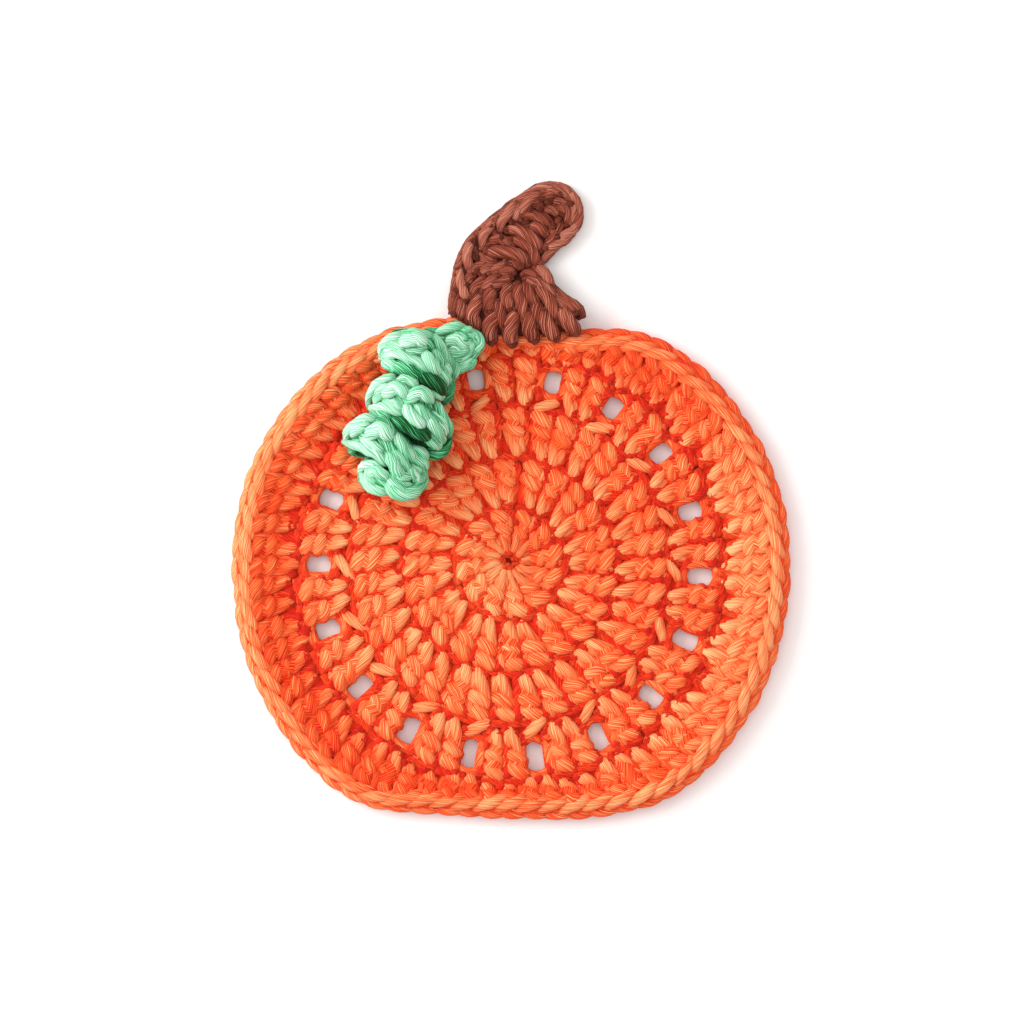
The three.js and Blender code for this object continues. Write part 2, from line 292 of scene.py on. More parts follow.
@dataclass
class YarnMesh:
    """Collects strands of yarn and joins them into one mesh."""

    yarn: Yarn
    UV_NAME = "yarn"
    TONE_NAME = "tone"
    # The painted shade attribute that the material reads, and the depth in mm over which it spans its
    # range
    PAINTED_SHADE_NAME = "painted_shade"
    PAINTED_SHADE_RANGE = 3.0
    TABLE_GAP = 0.05
    vertices: list[np.ndarray] = field(default_factory=list)
    corners: list[np.ndarray] = field(default_factory=list)
    uvs: list[np.ndarray] = field(default_factory=list)
    tones: list[np.ndarray] = field(default_factory=list)
    painted_shade: list[np.ndarray] = field(default_factory=list)
    vertex_count: int = 0

    def add(
        self,
        points: np.ndarray,
        rings: int,
        seed: int,
        facing: Sequence[float] | np.ndarray = (0.0, 0.0, 1.0),
    ) -> None:
        """Adds one closed tube of yarn for each row of points, pressed flat on the table.

        Args:
            points: Strands, points, and x, y, z, bulk and the depth of their painted shade.
            rings: Sections along each strand.
            seed: Start of the random tones of these strands.
            facing: The way the yarn's flat side faces, one for all or one for each point.
        """
        rng = np.random.default_rng(seed)
        strands, sides = points.shape[0], self.yarn.sides
        path = through(points, rings)
        centre, bulk, drop = path[..., :3], path[..., 3], path[..., 4]
        tangent = unit(np.gradient(centre, axis=1))
        face = np.asarray(facing, dtype=float)
        if face.ndim == 3:
            face = through(face, rings)
        side = unit(np.cross(tangent, np.broadcast_to(face, tangent.shape)))
        normal = np.cross(side, tangent)
        turn = 2 * math.pi * np.arange(sides) / sides - math.pi / 2
        half_width = 0.5 * self.yarn.width * bulk
        half_thick = 0.5 * self.yarn.thickness * bulk
        skin = (
            centre[:, :, None]
            + side[:, :, None] * (half_width[..., None] * np.cos(turn))[..., None]
            + normal[:, :, None] * (half_thick[..., None] * np.sin(turn))[..., None]
        )
        # Painted shade: deeper colour the lower the strand lies, and on each tube's sides and
        # underside
        depth = (drop[..., None] + half_thick[..., None] * (1 - np.sin(turn))) / self.PAINTED_SHADE_RANGE
        ends = np.stack([centre[:, 0], centre[:, -1]], axis=1)
        block = np.concatenate([skin.reshape(strands, -1, 3), ends], axis=1)
        block[..., 2] = np.maximum(block[..., 2], self.TABLE_GAP)
        step = np.linalg.norm(np.diff(centre, axis=1), axis=-1)
        run = np.concatenate([np.zeros((strands, 1)), np.cumsum(step, axis=1)], axis=1)
        self._add_faces(strands, rings, block.shape[1], run)
        self.vertices.append(block.reshape(-1, 3))
        end_depth = np.stack([depth[:, 0].mean(axis=-1), depth[:, -1].mean(axis=-1)], axis=-1)
        self.painted_shade.append(np.concatenate([depth.reshape(strands, -1), end_depth], axis=1).ravel())
        tone = rng.uniform(-1, 1, (strands, 1))
        self.tones.append(np.repeat(tone, block.shape[1], axis=1).ravel())
        self.vertex_count += block.shape[0] * block.shape[1]

    def _add_faces(self, strands: int, rings: int, block: int, run: np.ndarray) -> None:
        """Adds the faces of equal tubes, with their ends closed.

        Args:
            strands: How many tubes there are.
            rings: Sections along each tube.
            block: Vertices of each tube.
            run: Length along each tube at its rings.
        """
        sides = self.yarn.sides
        ring, number = np.meshgrid(np.arange(rings - 1), np.arange(sides), indexing="ij")
        after = (number + 1) % sides
        tube = np.stack(
            [
                ring * sides + number,
                (ring + 1) * sides + number,
                (ring + 1) * sides + after,
                ring * sides + after,
            ],
            axis=-1,
        ).reshape(-1, 4)
        number = np.arange(sides)
        after = (number + 1) % sides
        none = np.full(sides, -1)
        first, last = rings * sides, rings * sides + 1
        tail = (rings - 1) * sides
        start_cap = np.stack([np.full(sides, first), number, after, none], axis=-1)
        end_cap = np.stack([np.full(sides, last), tail + after, tail + number, none], axis=-1)
        faces = np.concatenate([tube, start_cap, end_cap])
        offsets = self.vertex_count + block * np.arange(strands)
        placed = np.where(faces[None] < 0, -1, faces[None] + offsets[:, None, None])
        self.corners.append(placed.reshape(-1, 4))
        left, right = np.arange(sides) / sides, (np.arange(sides) + 1) / sides
        around = np.stack([left, left, right, right], axis=-1)
        low, high = run[:, :-1, None], run[:, 1:, None]
        length = np.stack([low, high, high, low], axis=-1).repeat(sides, axis=2)
        tube_uv = np.stack([np.broadcast_to(around, length.shape), length], axis=-1)
        middle = (left + right) / 2
        start_around = np.stack([middle, left, right, left], axis=-1)
        end_around = np.stack([middle, right, left, left], axis=-1)
        cap_around = np.concatenate([start_around, end_around])
        cap_uv = np.stack([cap_around, np.zeros_like(cap_around)], axis=-1)
        caps = cap_uv[None].repeat(strands, axis=0)
        self.uvs.append(
            np.concatenate([tube_uv.reshape(strands, -1, 4, 2), caps], axis=1).reshape(-1, 4, 2)
        )

    def build(self, name: str, material: bpy.types.Material) -> bpy.types.Object:
        """Makes the object.

        Args:
            name: Name of the piece.
            material: Its finish.

        Returns:
            The object, at the origin, with its place in its mesh.
        """
        vertices = np.concatenate(self.vertices) * MM
        quads = np.concatenate(self.corners)
        uvs = np.concatenate(self.uvs)
        is_quad = quads[:, 3] >= 0
        sizes = np.where(is_quad, 4, 3)
        keep = quads.ravel() >= 0
        loops = quads.ravel()[keep]
        mesh = bpy.data.meshes.new(name)
        mesh.vertices.add(len(vertices))
        mesh.vertices.foreach_set("co", vertices.astype(np.float32).ravel())
        mesh.loops.add(len(loops))
        mesh.loops.foreach_set("vertex_index", loops.astype(np.int32))
        mesh.polygons.add(len(sizes))
        starts = np.concatenate([[0], np.cumsum(sizes)[:-1]])
        mesh.polygons.foreach_set("loop_start", starts.astype(np.int32))
        mesh.polygons.foreach_set("use_smooth", np.ones(len(sizes), dtype=bool))
        layer = mesh.uv_layers.new(name=self.UV_NAME)
        layer.data.foreach_set("uv", uvs.reshape(-1, 2)[keep].astype(np.float32).ravel())
        for attribute, values in ((self.TONE_NAME, self.tones), (self.PAINTED_SHADE_NAME, self.painted_shade)):
            layer = mesh.attributes.new(attribute, "FLOAT", "POINT")
            layer.data.foreach_set("value", np.concatenate(values).astype(np.float32))
        mesh.update(calc_edges=True)
        mesh.validate()
        mesh.materials.append(material)
        piece = bpy.data.objects.new(name, mesh)
        bpy.context.scene.collection.objects.link(piece)
        return piece


def drawn_in_copy(
    node: str, name: str, inset: float, material: bpy.types.Material, painted_shade: float = 1.3
) -> bpy.types.Object:
    """Copies a solid and draws its skin in, as the fabric that lies under the yarn, with one painted
    shade all over.

    Args:
        node: The solid's name.
        name: The copy's name.
        inset: How far the skin is drawn in.
        material: The copy's finish.
        painted_shade: How much painted shade colours it, in parts of the usual range.

    Returns:
        The copy, active and selected.
    """
    bpy.ops.object.select_all(action="DESELECT")
    core = frame["nodes"][node].copy()
    core.data = frame["nodes"][node].data.copy()
    core.name = name
    core.parent = None
    bpy.context.scene.collection.objects.link(core)
    core.select_set(True)
    bpy.context.view_layer.objects.active = core
    bpy.ops.object.mode_set(mode="EDIT")
    bpy.ops.mesh.select_all(action="SELECT")
    bpy.ops.mesh.remove_doubles(threshold=1e-6)
    bpy.ops.object.mode_set(mode="OBJECT")
    drawn_in = core.modifiers.new("drawn_in", "DISPLACE")
    drawn_in.strength = -inset * MM
    drawn_in.mid_level = 0.0
    bpy.ops.object.modifier_apply(modifier=drawn_in.name)
    bpy.ops.object.shade_smooth()
    core.data.materials.clear()
    core.data.materials.append(material)
    depth = core.data.attributes.new(YarnMesh.PAINTED_SHADE_NAME, "FLOAT", "POINT")
    depth.data.foreach_set("value", np.full(len(core.data.vertices), painted_shade, dtype=np.float32))
    return core


def put_on(pieces: Sequence[bpy.types.Object], node: str) -> None:
    """Puts pieces on the coaster's one body, in place of a solid.

    Args:
        pieces: The pieces.
        node: The solid that they replace.
    """
    for piece in pieces:
        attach(piece, "root")
        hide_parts(node)


@dataclass(frozen=True)
class MatShape:
    """The flat form of the mat: its outline and where its rounds and groups lie.

    The outline is angles, each with the distance there from the middle of the rounds to the
    edge. Round radii are each round's outer radius and how far it is shifted to the bottom.
    """

    middle: tuple[float, float]
    rim_width: float = 4.9
    groups: int = 18
    first_eyelet: float = 13.5
    group_angle: float = 19.8
    group_sag: float = 1.8
    outline: tuple[tuple[float, float], ...] = (
        (0, 53.6),
        (18, 54.7),
        (30, 59.2),
        (45, 60.9),
        (70, 62.5),
        (95, 63.0),
        (120, 63.8),
        (145, 64.0),
        (163, 60.0),
        (180, 57.4),
        (197, 58.8),
        (213, 63.7),
        (240, 62.9),
        (265, 61.7),
        (290, 61.2),
        (315, 60.0),
        (335, 57.8),
        (348, 55.8),
    )
    round_radii: tuple[tuple[float, float], ...] = (
        (0.0, 0.0),
        (12.3, 0.5),
        (24.0, 0.9),
        (35.5, 0.8),
        (46.2, 1.8),
    )

    def edge(self, angle: np.ndarray) -> np.ndarray:
        """Distance from the middle of the rounds to the outline, by angle."""
        table = np.array(self.outline)
        wrapped = np.concatenate([table[-2:] - [FULL_TURN, 0], table, table[:3] + [FULL_TURN, 0]])
        turned = np.mod(angle, FULL_TURN)
        index = np.searchsorted(wrapped[:, 0], turned, side="right") - 1
        a, r = wrapped[:, 0], wrapped[:, 1]
        span = a[index + 1] - a[index]
        part = (turned - a[index]) / span
        start_slope = span * (r[index + 1] - r[index - 1]) / (a[index + 1] - a[index - 1])
        end_slope = span * (r[index + 2] - r[index]) / (a[index + 2] - a[index])
        square, cube = part**2, part**3
        return (
            (2 * cube - 3 * square + 1) * r[index]
            + (cube - 2 * square + part) * start_slope
            + (3 * square - 2 * cube) * r[index + 1]
            + (cube - square) * end_slope
        )

    def round_edge(self, number: int, angle: np.ndarray) -> np.ndarray:
        """Outer radius of a round at an angle, where round 0 is the middle and 5 meets the rim.

        Args:
            number: The round.
            angle: Angles on the mat.

        Returns:
            Distances from the middle of the rounds.
        """
        if number >= len(self.round_radii):
            return self.edge(angle) - self.rim_width
        radius, shift = self.round_radii[number]
        return radius - shift * np.cos(np.radians(angle))

    def group_place(self, groups: np.ndarray) -> np.ndarray:
        """Angle of a place counted in groups from the first eyelet.

        Args:
            groups: Places; whole numbers are eyelets.

        Returns:
            Angles. The last group takes what the others leave of the full turn.
        """
        turns = np.floor(groups / self.groups)
        inside = groups - turns * self.groups
        last_angle = FULL_TURN - self.group_angle * (self.groups - 1)
        even = np.minimum(inside, self.groups - 1)
        angle = self.first_eyelet + even * self.group_angle + (inside - even) * last_angle
        return angle + turns * FULL_TURN

    def sagged_place(self, groups: np.ndarray) -> np.ndarray:
        """The same for the round of eyelets, whose sides lie nearer to the mat's bottom."""
        angle = self.group_place(groups)
        return angle + self.group_sag * np.sin(np.radians(angle))

    def spot(self, angle: np.ndarray, radius: np.ndarray) -> tuple[np.ndarray, np.ndarray]:
        """Turns an angle and a distance from the middle of the rounds into x and y."""
        turned = np.radians(angle)
        return self.middle[0] + radius * np.sin(turned), self.middle[1] + radius * np.cos(turned)


@dataclass(frozen=True)
class Posts:
    """The stitches of a round, one row each: where each foot and head is, and how wide.

    Lift is how far past the inner edge each foot starts, head lift how far past the outer edge
    each head ends, and rise how much higher the heads lie than the feet. Shade is the painted
    shade of each stitch, in mm of depth, painted light where negative, head shade the same for
    its head alone, and highlight share how much of the mat's painted highlight it gets.
    """

    number: int
    foot: np.ndarray
    head: np.ndarray
    foot_pitch: float
    head_pitch: float
    lift: float | np.ndarray = 0.0
    head_lift: float | np.ndarray = 0.0
    rise: float = 0.0
    shade: float | np.ndarray = 0.0
    highlight_share: float | np.ndarray = 1.0
    head_shade: float = 0.0


# A stitch from its foot, at 0 mm, to its head, at 11.5 mm
FULL_DEPTH = 11.5
FILLING = (
    Bend(0.02, 1.0, 2.2, 1.1),
    Bend(0.00, 2.6, 1.1, 1.5),
    Bend(-0.02, 6.0, 0.8, 1.62),
    Bend(-0.02, 9.0, 0.8, 1.62),
    Bend(-0.02, 10.8, 1.8, 1.3),
)
BETWEEN_POSTS = (
    Bend(0.48, 0.2, 2.5, 0.95),
    Bend(0.49, 1.6, 1.4, 1.25, 0.35),
    Bend(0.48, 5.5, 1.2, 1.3, 0.35),
    Bend(0.46, 8.8, 1.3, 1.25, 0.3),
    Bend(0.44, 10.8, 2.4, 0.9),
)
HEAD_CHAIN = (
    Bend(-0.62, 11.4, 2.0, 0.75),
    Bend(-0.30, 11.5, 1.5, 1.0, 0.3),
    Bend(0.10, 11.4, 1.4, 1.05, 0.3),
    Bend(0.50, 11.6, 1.9, 0.75),
)
LONG_LEG = (
    Bend(0.31, 0.1, 2.2, 0.95, 0.8),
    Bend(0.27, 0.7, 0.6, 1.15, 1.2),
    Bend(0.15, 1.7, 0.0, 1.25, 1.1),
    Bend(-0.04, 3.2, 0.0, 1.15, 0.6),
    Bend(-0.22, 5.0, 0.3, 0.92, 0.1),
    Bend(-0.34, 7.0, 0.8, 0.72, -0.2),
    Bend(-0.40, 9.2, 2.0, 0.5, -0.3),
)
SHORT_LEG = (
    Bend(0.46, 0.5, 2.2, 0.8, 0.8),
    Bend(0.42, 1.3, 0.7, 0.85, 1.1),
    Bend(0.36, 2.6, 0.25, 0.88, 0.8),
    Bend(0.31, 4.0, 0.5, 0.85, 0.2),
    Bend(0.24, 5.6, 1.8, 0.7, 0.0),
)
LOWER_WRAP = (
    Bend(-0.41, 7.8, 2.4, 0.6),
    Bend(-0.38, 7.6, 1.0, 1.08),
    Bend(-0.20, 6.9, 0.2, 1.2),
    Bend(0.04, 6.4, 0.0, 1.24, 0.1),
    Bend(0.27, 6.1, 0.2, 1.2, 0.35),
    Bend(0.41, 6.0, 1.0, 1.1, 0.2),
    Bend(0.49, 6.0, 2.4, 0.9),
)
UPPER_WRAP = (
    Bend(-0.46, 10.7, 2.3, 0.7),
    Bend(-0.42, 10.5, 1.0, 1.05),
    Bend(-0.25, 10.0, 0.1, 1.2),
    Bend(-0.05, 9.5, -0.1, 1.22, 0.1),
    Bend(0.13, 9.0, 0.1, 1.18, 0.3),
    Bend(0.25, 8.7, 1.0, 1.05, 0.2),
    Bend(0.32, 8.6, 2.3, 0.9),
)
SIDE_STRAND = (
    Bend(0.09, 11.3, 2.0, 0.6),
    Bend(0.19, 10.8, 0.7, 0.75),
    Bend(0.28, 9.9, 0.15, 0.78),
    Bend(0.36, 8.5, 0.15, 0.76),
    Bend(0.42, 7.1, 0.7, 0.68),
    Bend(0.44, 6.0, 2.0, 0.5),
)
SKIPPED_HEAD = (
    Bend(-0.78, -1.3, 1.6, 0.7, 0.2),
    Bend(-0.56, -0.5, 0.5, 0.9, 0.7),
    Bend(-0.24, 0.7, 0.0, 0.95, 0.9),
    Bend(0.08, 1.9, 0.1, 0.92, 0.9),
    Bend(0.30, 2.9, 0.6, 0.85, 0.5),
    Bend(0.44, 3.6, 1.6, 0.6),
)
EYELET_FOOT = (
    Bend(-0.60, 5.2, 2.2, 0.7),
    Bend(-0.34, 3.9, 1.3, 0.9, 0.2),
    Bend(0.0, 3.2, 1.1, 0.95, 0.3),
    Bend(0.34, 4.0, 1.3, 0.9, 0.2),
    Bend(0.60, 5.4, 2.2, 0.7),
)
EYELET_CHAIN = (
    Bend(-0.58, 9.9, 2.1, 0.7),
    Bend(-0.32, 11.2, 1.2, 0.88, 0.2),
    Bend(0.04, 11.8, 1.0, 0.9, 0.3),
    Bend(0.36, 11.1, 1.2, 0.88, 0.2),
    Bend(0.60, 9.7, 2.2, 0.7),
)
EYELET_LEFT_SIDE = (
    Bend(-0.42, 2.4, 2.3, 0.7),
    Bend(-0.45, 4.2, 1.0, 0.82, 0.2),
    Bend(-0.51, 7.3, 0.7, 0.9, 0.2),
    Bend(-0.45, 10.4, 1.0, 0.82, 0.2),
    Bend(-0.40, 12.0, 2.3, 0.7),
)
EYELET_RIGHT_SIDE = tuple(replace(bend, across=-bend.across) for bend in EYELET_LEFT_SIDE)


@dataclass(frozen=True)
class Link:
    """A point of a rim strand: links past its start, mm inside the outline, and mm up.

    Depth is its painted shade: how far below the palest yarn its colour is taken, in mm, painted
    light where negative.
    """

    part: float
    inset: float
    height: float
    bulk: float
    depth: float


RIM_INNER = (
    Link(0.02, 5.4, 3.1, 0.7, 1.6),
    Link(0.30, 4.8, 4.6, 0.92, 0.4),
    Link(0.70, 4.1, 5.3, 1.02, -0.7),
    Link(1.12, 3.3, 5.5, 1.02, -1.2),
    Link(1.54, 2.6, 5.0, 0.94, -0.8),
    Link(1.88, 1.9, 3.7, 0.7, 0.4),
)
RIM_BETWEEN = (
    Link(0.2, 3.1, 2.8, 0.9, 1.7),
    Link(0.65, 2.9, 3.9, 1.15, 1.3),
    Link(1.0, 2.8, 4.0, 1.2, 1.2),
    Link(1.35, 2.9, 3.9, 1.15, 1.3),
    Link(1.8, 3.1, 2.8, 0.9, 1.7),
)
RIM_OUTER = (
    Link(0.17, 2.3, 2.2, 0.6, 1.4),
    Link(0.50, 1.5, 3.2, 0.95, 0.5),
    Link(0.97, 1.2, 3.5, 1.05, 0.2),
    Link(1.40, 1.6, 3.3, 0.95, 0.5),
    Link(1.77, 2.4, 2.3, 0.6, 1.4),
)
RIM_LOWER = (
    Link(0.17, 2.1, 1.3, 0.6, 1.4),
    Link(0.50, 1.4, 1.3, 0.95, 0.6),
    Link(0.97, 1.2, 1.3, 1.05, 0.4),
    Link(1.40, 1.4, 1.3, 0.95, 0.6),
    Link(1.77, 2.1, 1.3, 0.6, 1.4),
)


@dataclass
class Mat:
    """The orange mat: a core of fabric and every strand of yarn that shows on it.

    A stitch sways from its foot's angle to its head's over the part of its length in sway
    end, and where a round rises outwards, a stitch keeps its height at the part in rise
    middle. Squeeze thins the yarn where stitches stand closer than the usual pitch. Stitches
    over the part of a full depth in tall part get a lower wrap. Painted highlight is how far
    the pale parts of the stitches are lightened where they face the light. The edge's two
    numbers paint shade on the rim's outer legs at the right and paint light on them at the
    left. The core is coloured with painted shade.
    """

    shape: MatShape
    yarn: Yarn
    finish: CottonFinish
    thickness: float = 4.5
    core_inset: float = 0.9
    core_flattening: float = 0.5
    face_gap: float = 0.15
    jitter: float = 0.14
    rim_jitter_part: float = 0.8
    stretching: float = 0.05
    thickening: float = 0.06
    usual_pitch: float = 4.8
    least_squeeze: float = 0.45
    most_squeeze: float = 1.1
    squeeze_power: float = 0.7
    sway_end: float = 0.6
    rise_middle: float = 0.3
    tall_part: float = 0.65
    painted_highlight: float = 1.25
    left_narrowing: float = 0.22
    edge_deepening: float = 0.3
    edge_lifting: float = 1.6
    links_per_group: int = 4
    eyelet_rings: int = 10
    rim_rings: int = 9
    under_sides: int = 6
    top_seed: int = 1000
    under_seed: int = 8000
    rim_seed: int = 7000
    seed_step: int = 1000
    flat_area_m2: float = 0.0106

    def _middle_shade(self, angle: np.ndarray) -> np.ndarray:
        """Painted shade around the first round, by angle: least at its lower left, where it turns to
        painted light.
        """
        return -0.1 - 0.8 * np.cos(np.radians(angle - 235))

    def _inner_shade(self, angle: np.ndarray) -> np.ndarray:
        """Painted shade on the next three rounds, by angle: most at their right."""
        return 0.35 + 0.25 * np.cos(np.radians(angle - 80))

    def _outer_shade(self, angle: np.ndarray) -> np.ndarray:
        """Painted shade on the fifth round, by angle: most at its lower left and beside the stem,
        least at its right, where it turns to painted light.
        """
        beside_stem = np.maximum(0, np.cos(np.radians(angle - 37))) ** 8
        right = np.maximum(0, np.cos(np.radians(angle - 95))) ** 4
        around = 0.4 + 0.8 * np.cos(np.radians(angle - 220))
        return around + 1.7 * beside_stem - 0.6 * right

    def _outer_highlight_share(self, angle: np.ndarray) -> np.ndarray:
        """How much of the painted highlight the fifth round gets: most at its right, least at its
        left.
        """
        return 0.8 + 0.6 * np.cos(np.radians(angle - 115))

    def _rim_shade(self, angle: np.ndarray) -> np.ndarray:
        """Painted shade on the rim, by angle: least at its left and its right."""
        beside_stem = np.maximum(0, np.cos(np.radians(angle - 25))) ** 3
        return 0.5 + 0.35 * np.cos(np.radians(2 * (angle - 200))) + 0.4 * beside_stem

    def _height(self, drop: np.ndarray, face: Face) -> np.ndarray:
        """Height of a strand's middle that lies so far below its face."""
        from_face = self.yarn.thickness / 2 + self.face_gap + drop
        return self.thickness - from_face if face is Face.TOP else from_face

    def _depths(self, posts: Posts) -> tuple[np.ndarray, np.ndarray, np.ndarray]:
        """Works out where the stitches of a round start, and how long they are.

        Args:
            posts: The round.

        Returns:
            The inner edge at each stitch, the way from there to its start, and its length.
        """
        inner = self.shape.round_edge(posts.number - 1, posts.foot)
        start = np.broadcast_to(np.asarray(posts.lift, dtype=float), inner.shape)
        outer = self.shape.round_edge(posts.number, posts.head) + posts.head_lift
        return inner, start, outer - inner - start

    def _place(
        self, posts: Posts, bends: Sequence[Bend], pick: np.ndarray, seed: int, face: Face
    ) -> np.ndarray:
        """Puts one kind of strand on each picked stitch of a round.

        Args:
            posts: The round.
            bends: The strand's points in the stitch's own sizes.
            pick: Numbers of the stitches.
            seed: Start of the random shifts.
            face: The face that it shows on.

        Returns:
            Strands, points, and x, y, z, bulk, and the drop with the painted light and shade added.
        """
        rng = np.random.default_rng(seed)
        foot, head = posts.foot[pick], posts.head[pick]
        inner, start, length = (values[pick] for values in self._depths(posts))
        rise = posts.rise if face is Face.TOP else 0.0
        shade, highlight_share = (
            np.broadcast_to(np.asarray(values, dtype=float), posts.foot.shape)[pick]
            for values in (posts.shade, posts.highlight_share)
        )
        rows = []
        for bend in bends:
            along = start + bend.along * length / FULL_DEPTH
            part = np.clip((along - start) / length, 0.0, 1.0)
            sway = np.clip(part / self.sway_end, 0.0, 1.0)
            centre = foot * (1 - sway) + head * sway
            pitch = posts.foot_pitch * (1 - part) + posts.head_pitch * part
            x, y = self.shape.spot(centre + bend.across * pitch, inner + along)
            crowding = (inner + along) * np.radians(pitch) / self.usual_pitch
            squeeze = np.clip(crowding, self.least_squeeze, self.most_squeeze)
            level = self._height(np.full_like(x, bend.drop), face)
            height = level + rise * (part - self.rise_middle)
            # Painted light and shade: the round's painted shade, more at the heads, less the painted
            # highlight on the pale parts
            painted_light = shade + posts.head_shade * part**3 - self.painted_highlight * highlight_share * bend.pale
            drop = bend.drop + painted_light
            bulk = bend.bulk * squeeze**self.squeeze_power
            rows.append(np.stack([x, y, height, bulk, drop], axis=-1))
        points = np.stack(rows, axis=1)
        middle = points[:, :, :3].mean(axis=1, keepdims=True)
        stretch = rng.normal(1, self.stretching, (len(pick), 1, 1))
        points[..., :3] = middle + (points[..., :3] - middle) * stretch
        shift = rng.normal(0, self.jitter, (len(pick), 1, 3)) * SHIFT_WAYS
        wobble = rng.normal(0, self.jitter * WOBBLE_PART, points[..., :3].shape)
        points[..., :3] += shift + wobble
        points[..., 3] *= rng.normal(1, self.thickening, (len(pick), 1))
        return points

    def _facing(self, points: np.ndarray, rise: float, face: Face) -> np.ndarray:
        """The way that strands face, which leans to the middle where the fabric rises outwards.

        Args:
            points: Strands, points, and x, y and more.
            rise: How much the fabric rises over a full depth.
            face: The face that they show on.

        Returns:
            Directions in the last column.
        """
        slope = rise / FULL_DEPTH if face is Face.TOP else 0.0
        inwards = unit(np.array(self.shape.middle) - points[..., :2]) * slope
        return np.concatenate([inwards, np.full_like(inwards[..., :1], face.value)], axis=-1)

    def _posts(self, mesh: YarnMesh, posts: Posts, seed: int, face: Face) -> None:
        """Adds the strands of a round's stitches.

        Args:
            mesh: Takes the strands.
            posts: The round.
            seed: Start of the random shifts.
            face: The face that they show on.
        """
        length = self._depths(posts)[2]
        everyone = np.arange(len(length))
        tall = np.flatnonzero(length > self.tall_part * FULL_DEPTH)
        kinds = (
            (FILLING, everyone, 8),
            (BETWEEN_POSTS, everyone, 8),
            (HEAD_CHAIN, everyone, 7),
            (LONG_LEG, everyone, 12),
            (SHORT_LEG, everyone, 8),
            (LOWER_WRAP, tall, 11),
            (UPPER_WRAP, everyone, 11),
            (SIDE_STRAND, everyone, 9),
        )
        for number, (bends, pick, rings) in enumerate(kinds):
            points = self._place(posts, bends, pick, seed + number, face)
            facing = self._facing(points, posts.rise, face)
            mesh.add(points, rings, seed + TONE_SEED_STEP + number, facing)

    def _rounds(self) -> tuple[Posts, Posts, Posts, Posts, Posts]:
        """Works out where the stitches of the five rounds stand.

        Returns:
            The rounds from the middle out.
        """
        shape = self.shape
        trios = shape.group_place((3 * np.arange(12) + 1) / 2)
        shade = self._middle_shade(trios)
        first = Posts(1, trios, trios, 30.0, 27.0, lift=1.3, shade=shade, highlight_share=0.2)
        second_heads = (trios[:, None] + [-7.3, 7.3]).ravel()
        second_feet = (trios[:, None] + [-5.2, 5.2]).ravel()
        shade = self._inner_shade(second_heads)
        second = Posts(2, second_feet, second_heads, 13.0, 14.2, shade=shade)
        third_heads = shape.group_place(np.arange(36) / 2)
        third_feet = third_heads + np.tile([1.8, -1.2, 0.8], 12)
        shade = self._inner_shade(third_heads)
        third = Posts(3, third_feet, third_heads, 9.2, 9.7, shade=shade)
        pairs = np.arange(shape.groups)[:, None]
        fourth_feet = shape.sagged_place((pairs + [0.35, 0.58]).ravel())
        fourth_heads = shape.sagged_place((pairs + [0.295, 0.645]).ravel())
        shade = self._inner_shade(fourth_heads)
        fourth = Posts(4, fourth_feet, fourth_heads, 5.5, 6.2, 0.4, 1.2, shade=shade)
        fifth_feet = shape.group_place((pairs + [0.09, 0.41, 0.70, 0.905]).ravel())
        fifth_heads = shape.group_place((pairs + [0.14, 0.395, 0.655, 0.895]).ravel())
        lift = np.tile([0.5, 2.1, 2.1, 0.5], shape.groups)
        head_lift = 0.9 + np.maximum(0, -np.sin(np.radians(fifth_heads)))
        shade = self._outer_shade(fifth_heads)
        highlight_share = self._outer_highlight_share(fifth_heads)
        fifth = Posts(
            5, fifth_feet, fifth_heads, 4.4, 4.95, lift, head_lift, 3.0, shade, highlight_share, 0.9
        )
        return first, second, third, fourth, fifth

    def _eyelets(self, mesh: YarnMesh, seed: int, face: Face) -> None:
        """Adds the yarn around each eyelet: the skipped loop, its two sides and the chain.

        Args:
            mesh: Takes the strands.
            seed: Start of the random shifts.
            face: The face that they show on.
        """
        places = self.shape.sagged_place(np.arange(self.shape.groups, dtype=float))
        everyone = np.arange(self.shape.groups)
        around = Posts(4, places, places, 8.2, 8.2, shade=self._inner_shade(places))
        kinds = (EYELET_FOOT, EYELET_CHAIN, EYELET_LEFT_SIDE, EYELET_RIGHT_SIDE, SKIPPED_HEAD)
        for number, bends in enumerate(kinds):
            points = self._place(around, bends, everyone, seed + number, face)
            facing = self._facing(points, 0.0, face)
            mesh.add(points, self.eyelet_rings, seed + TONE_SEED_STEP + number, facing)

    def _rim(self, mesh: YarnMesh, seed: int) -> None:
        """Adds the chain of slip stitches around the edge.

        Args:
            mesh: Takes the strands.
            seed: Start of the random shifts.
        """
        links = self.links_per_group * self.shape.groups
        place = np.arange(links) + 0.5
        rng = np.random.default_rng(seed)
        for number, leg in enumerate((RIM_INNER, RIM_BETWEEN, RIM_OUTER, RIM_LOWER)):
            rows = []
            for link in leg:
                angle = self.shape.group_place((place + link.part) / self.links_per_group)
                sine = np.sin(np.radians(angle))
                left = np.maximum(0, -sine)
                inset = link.inset * (1 - self.left_narrowing * left)
                x, y = self.shape.spot(angle, self.shape.edge(angle) - inset)
                fixed = [np.full_like(x, value) for value in (link.height, link.bulk)]
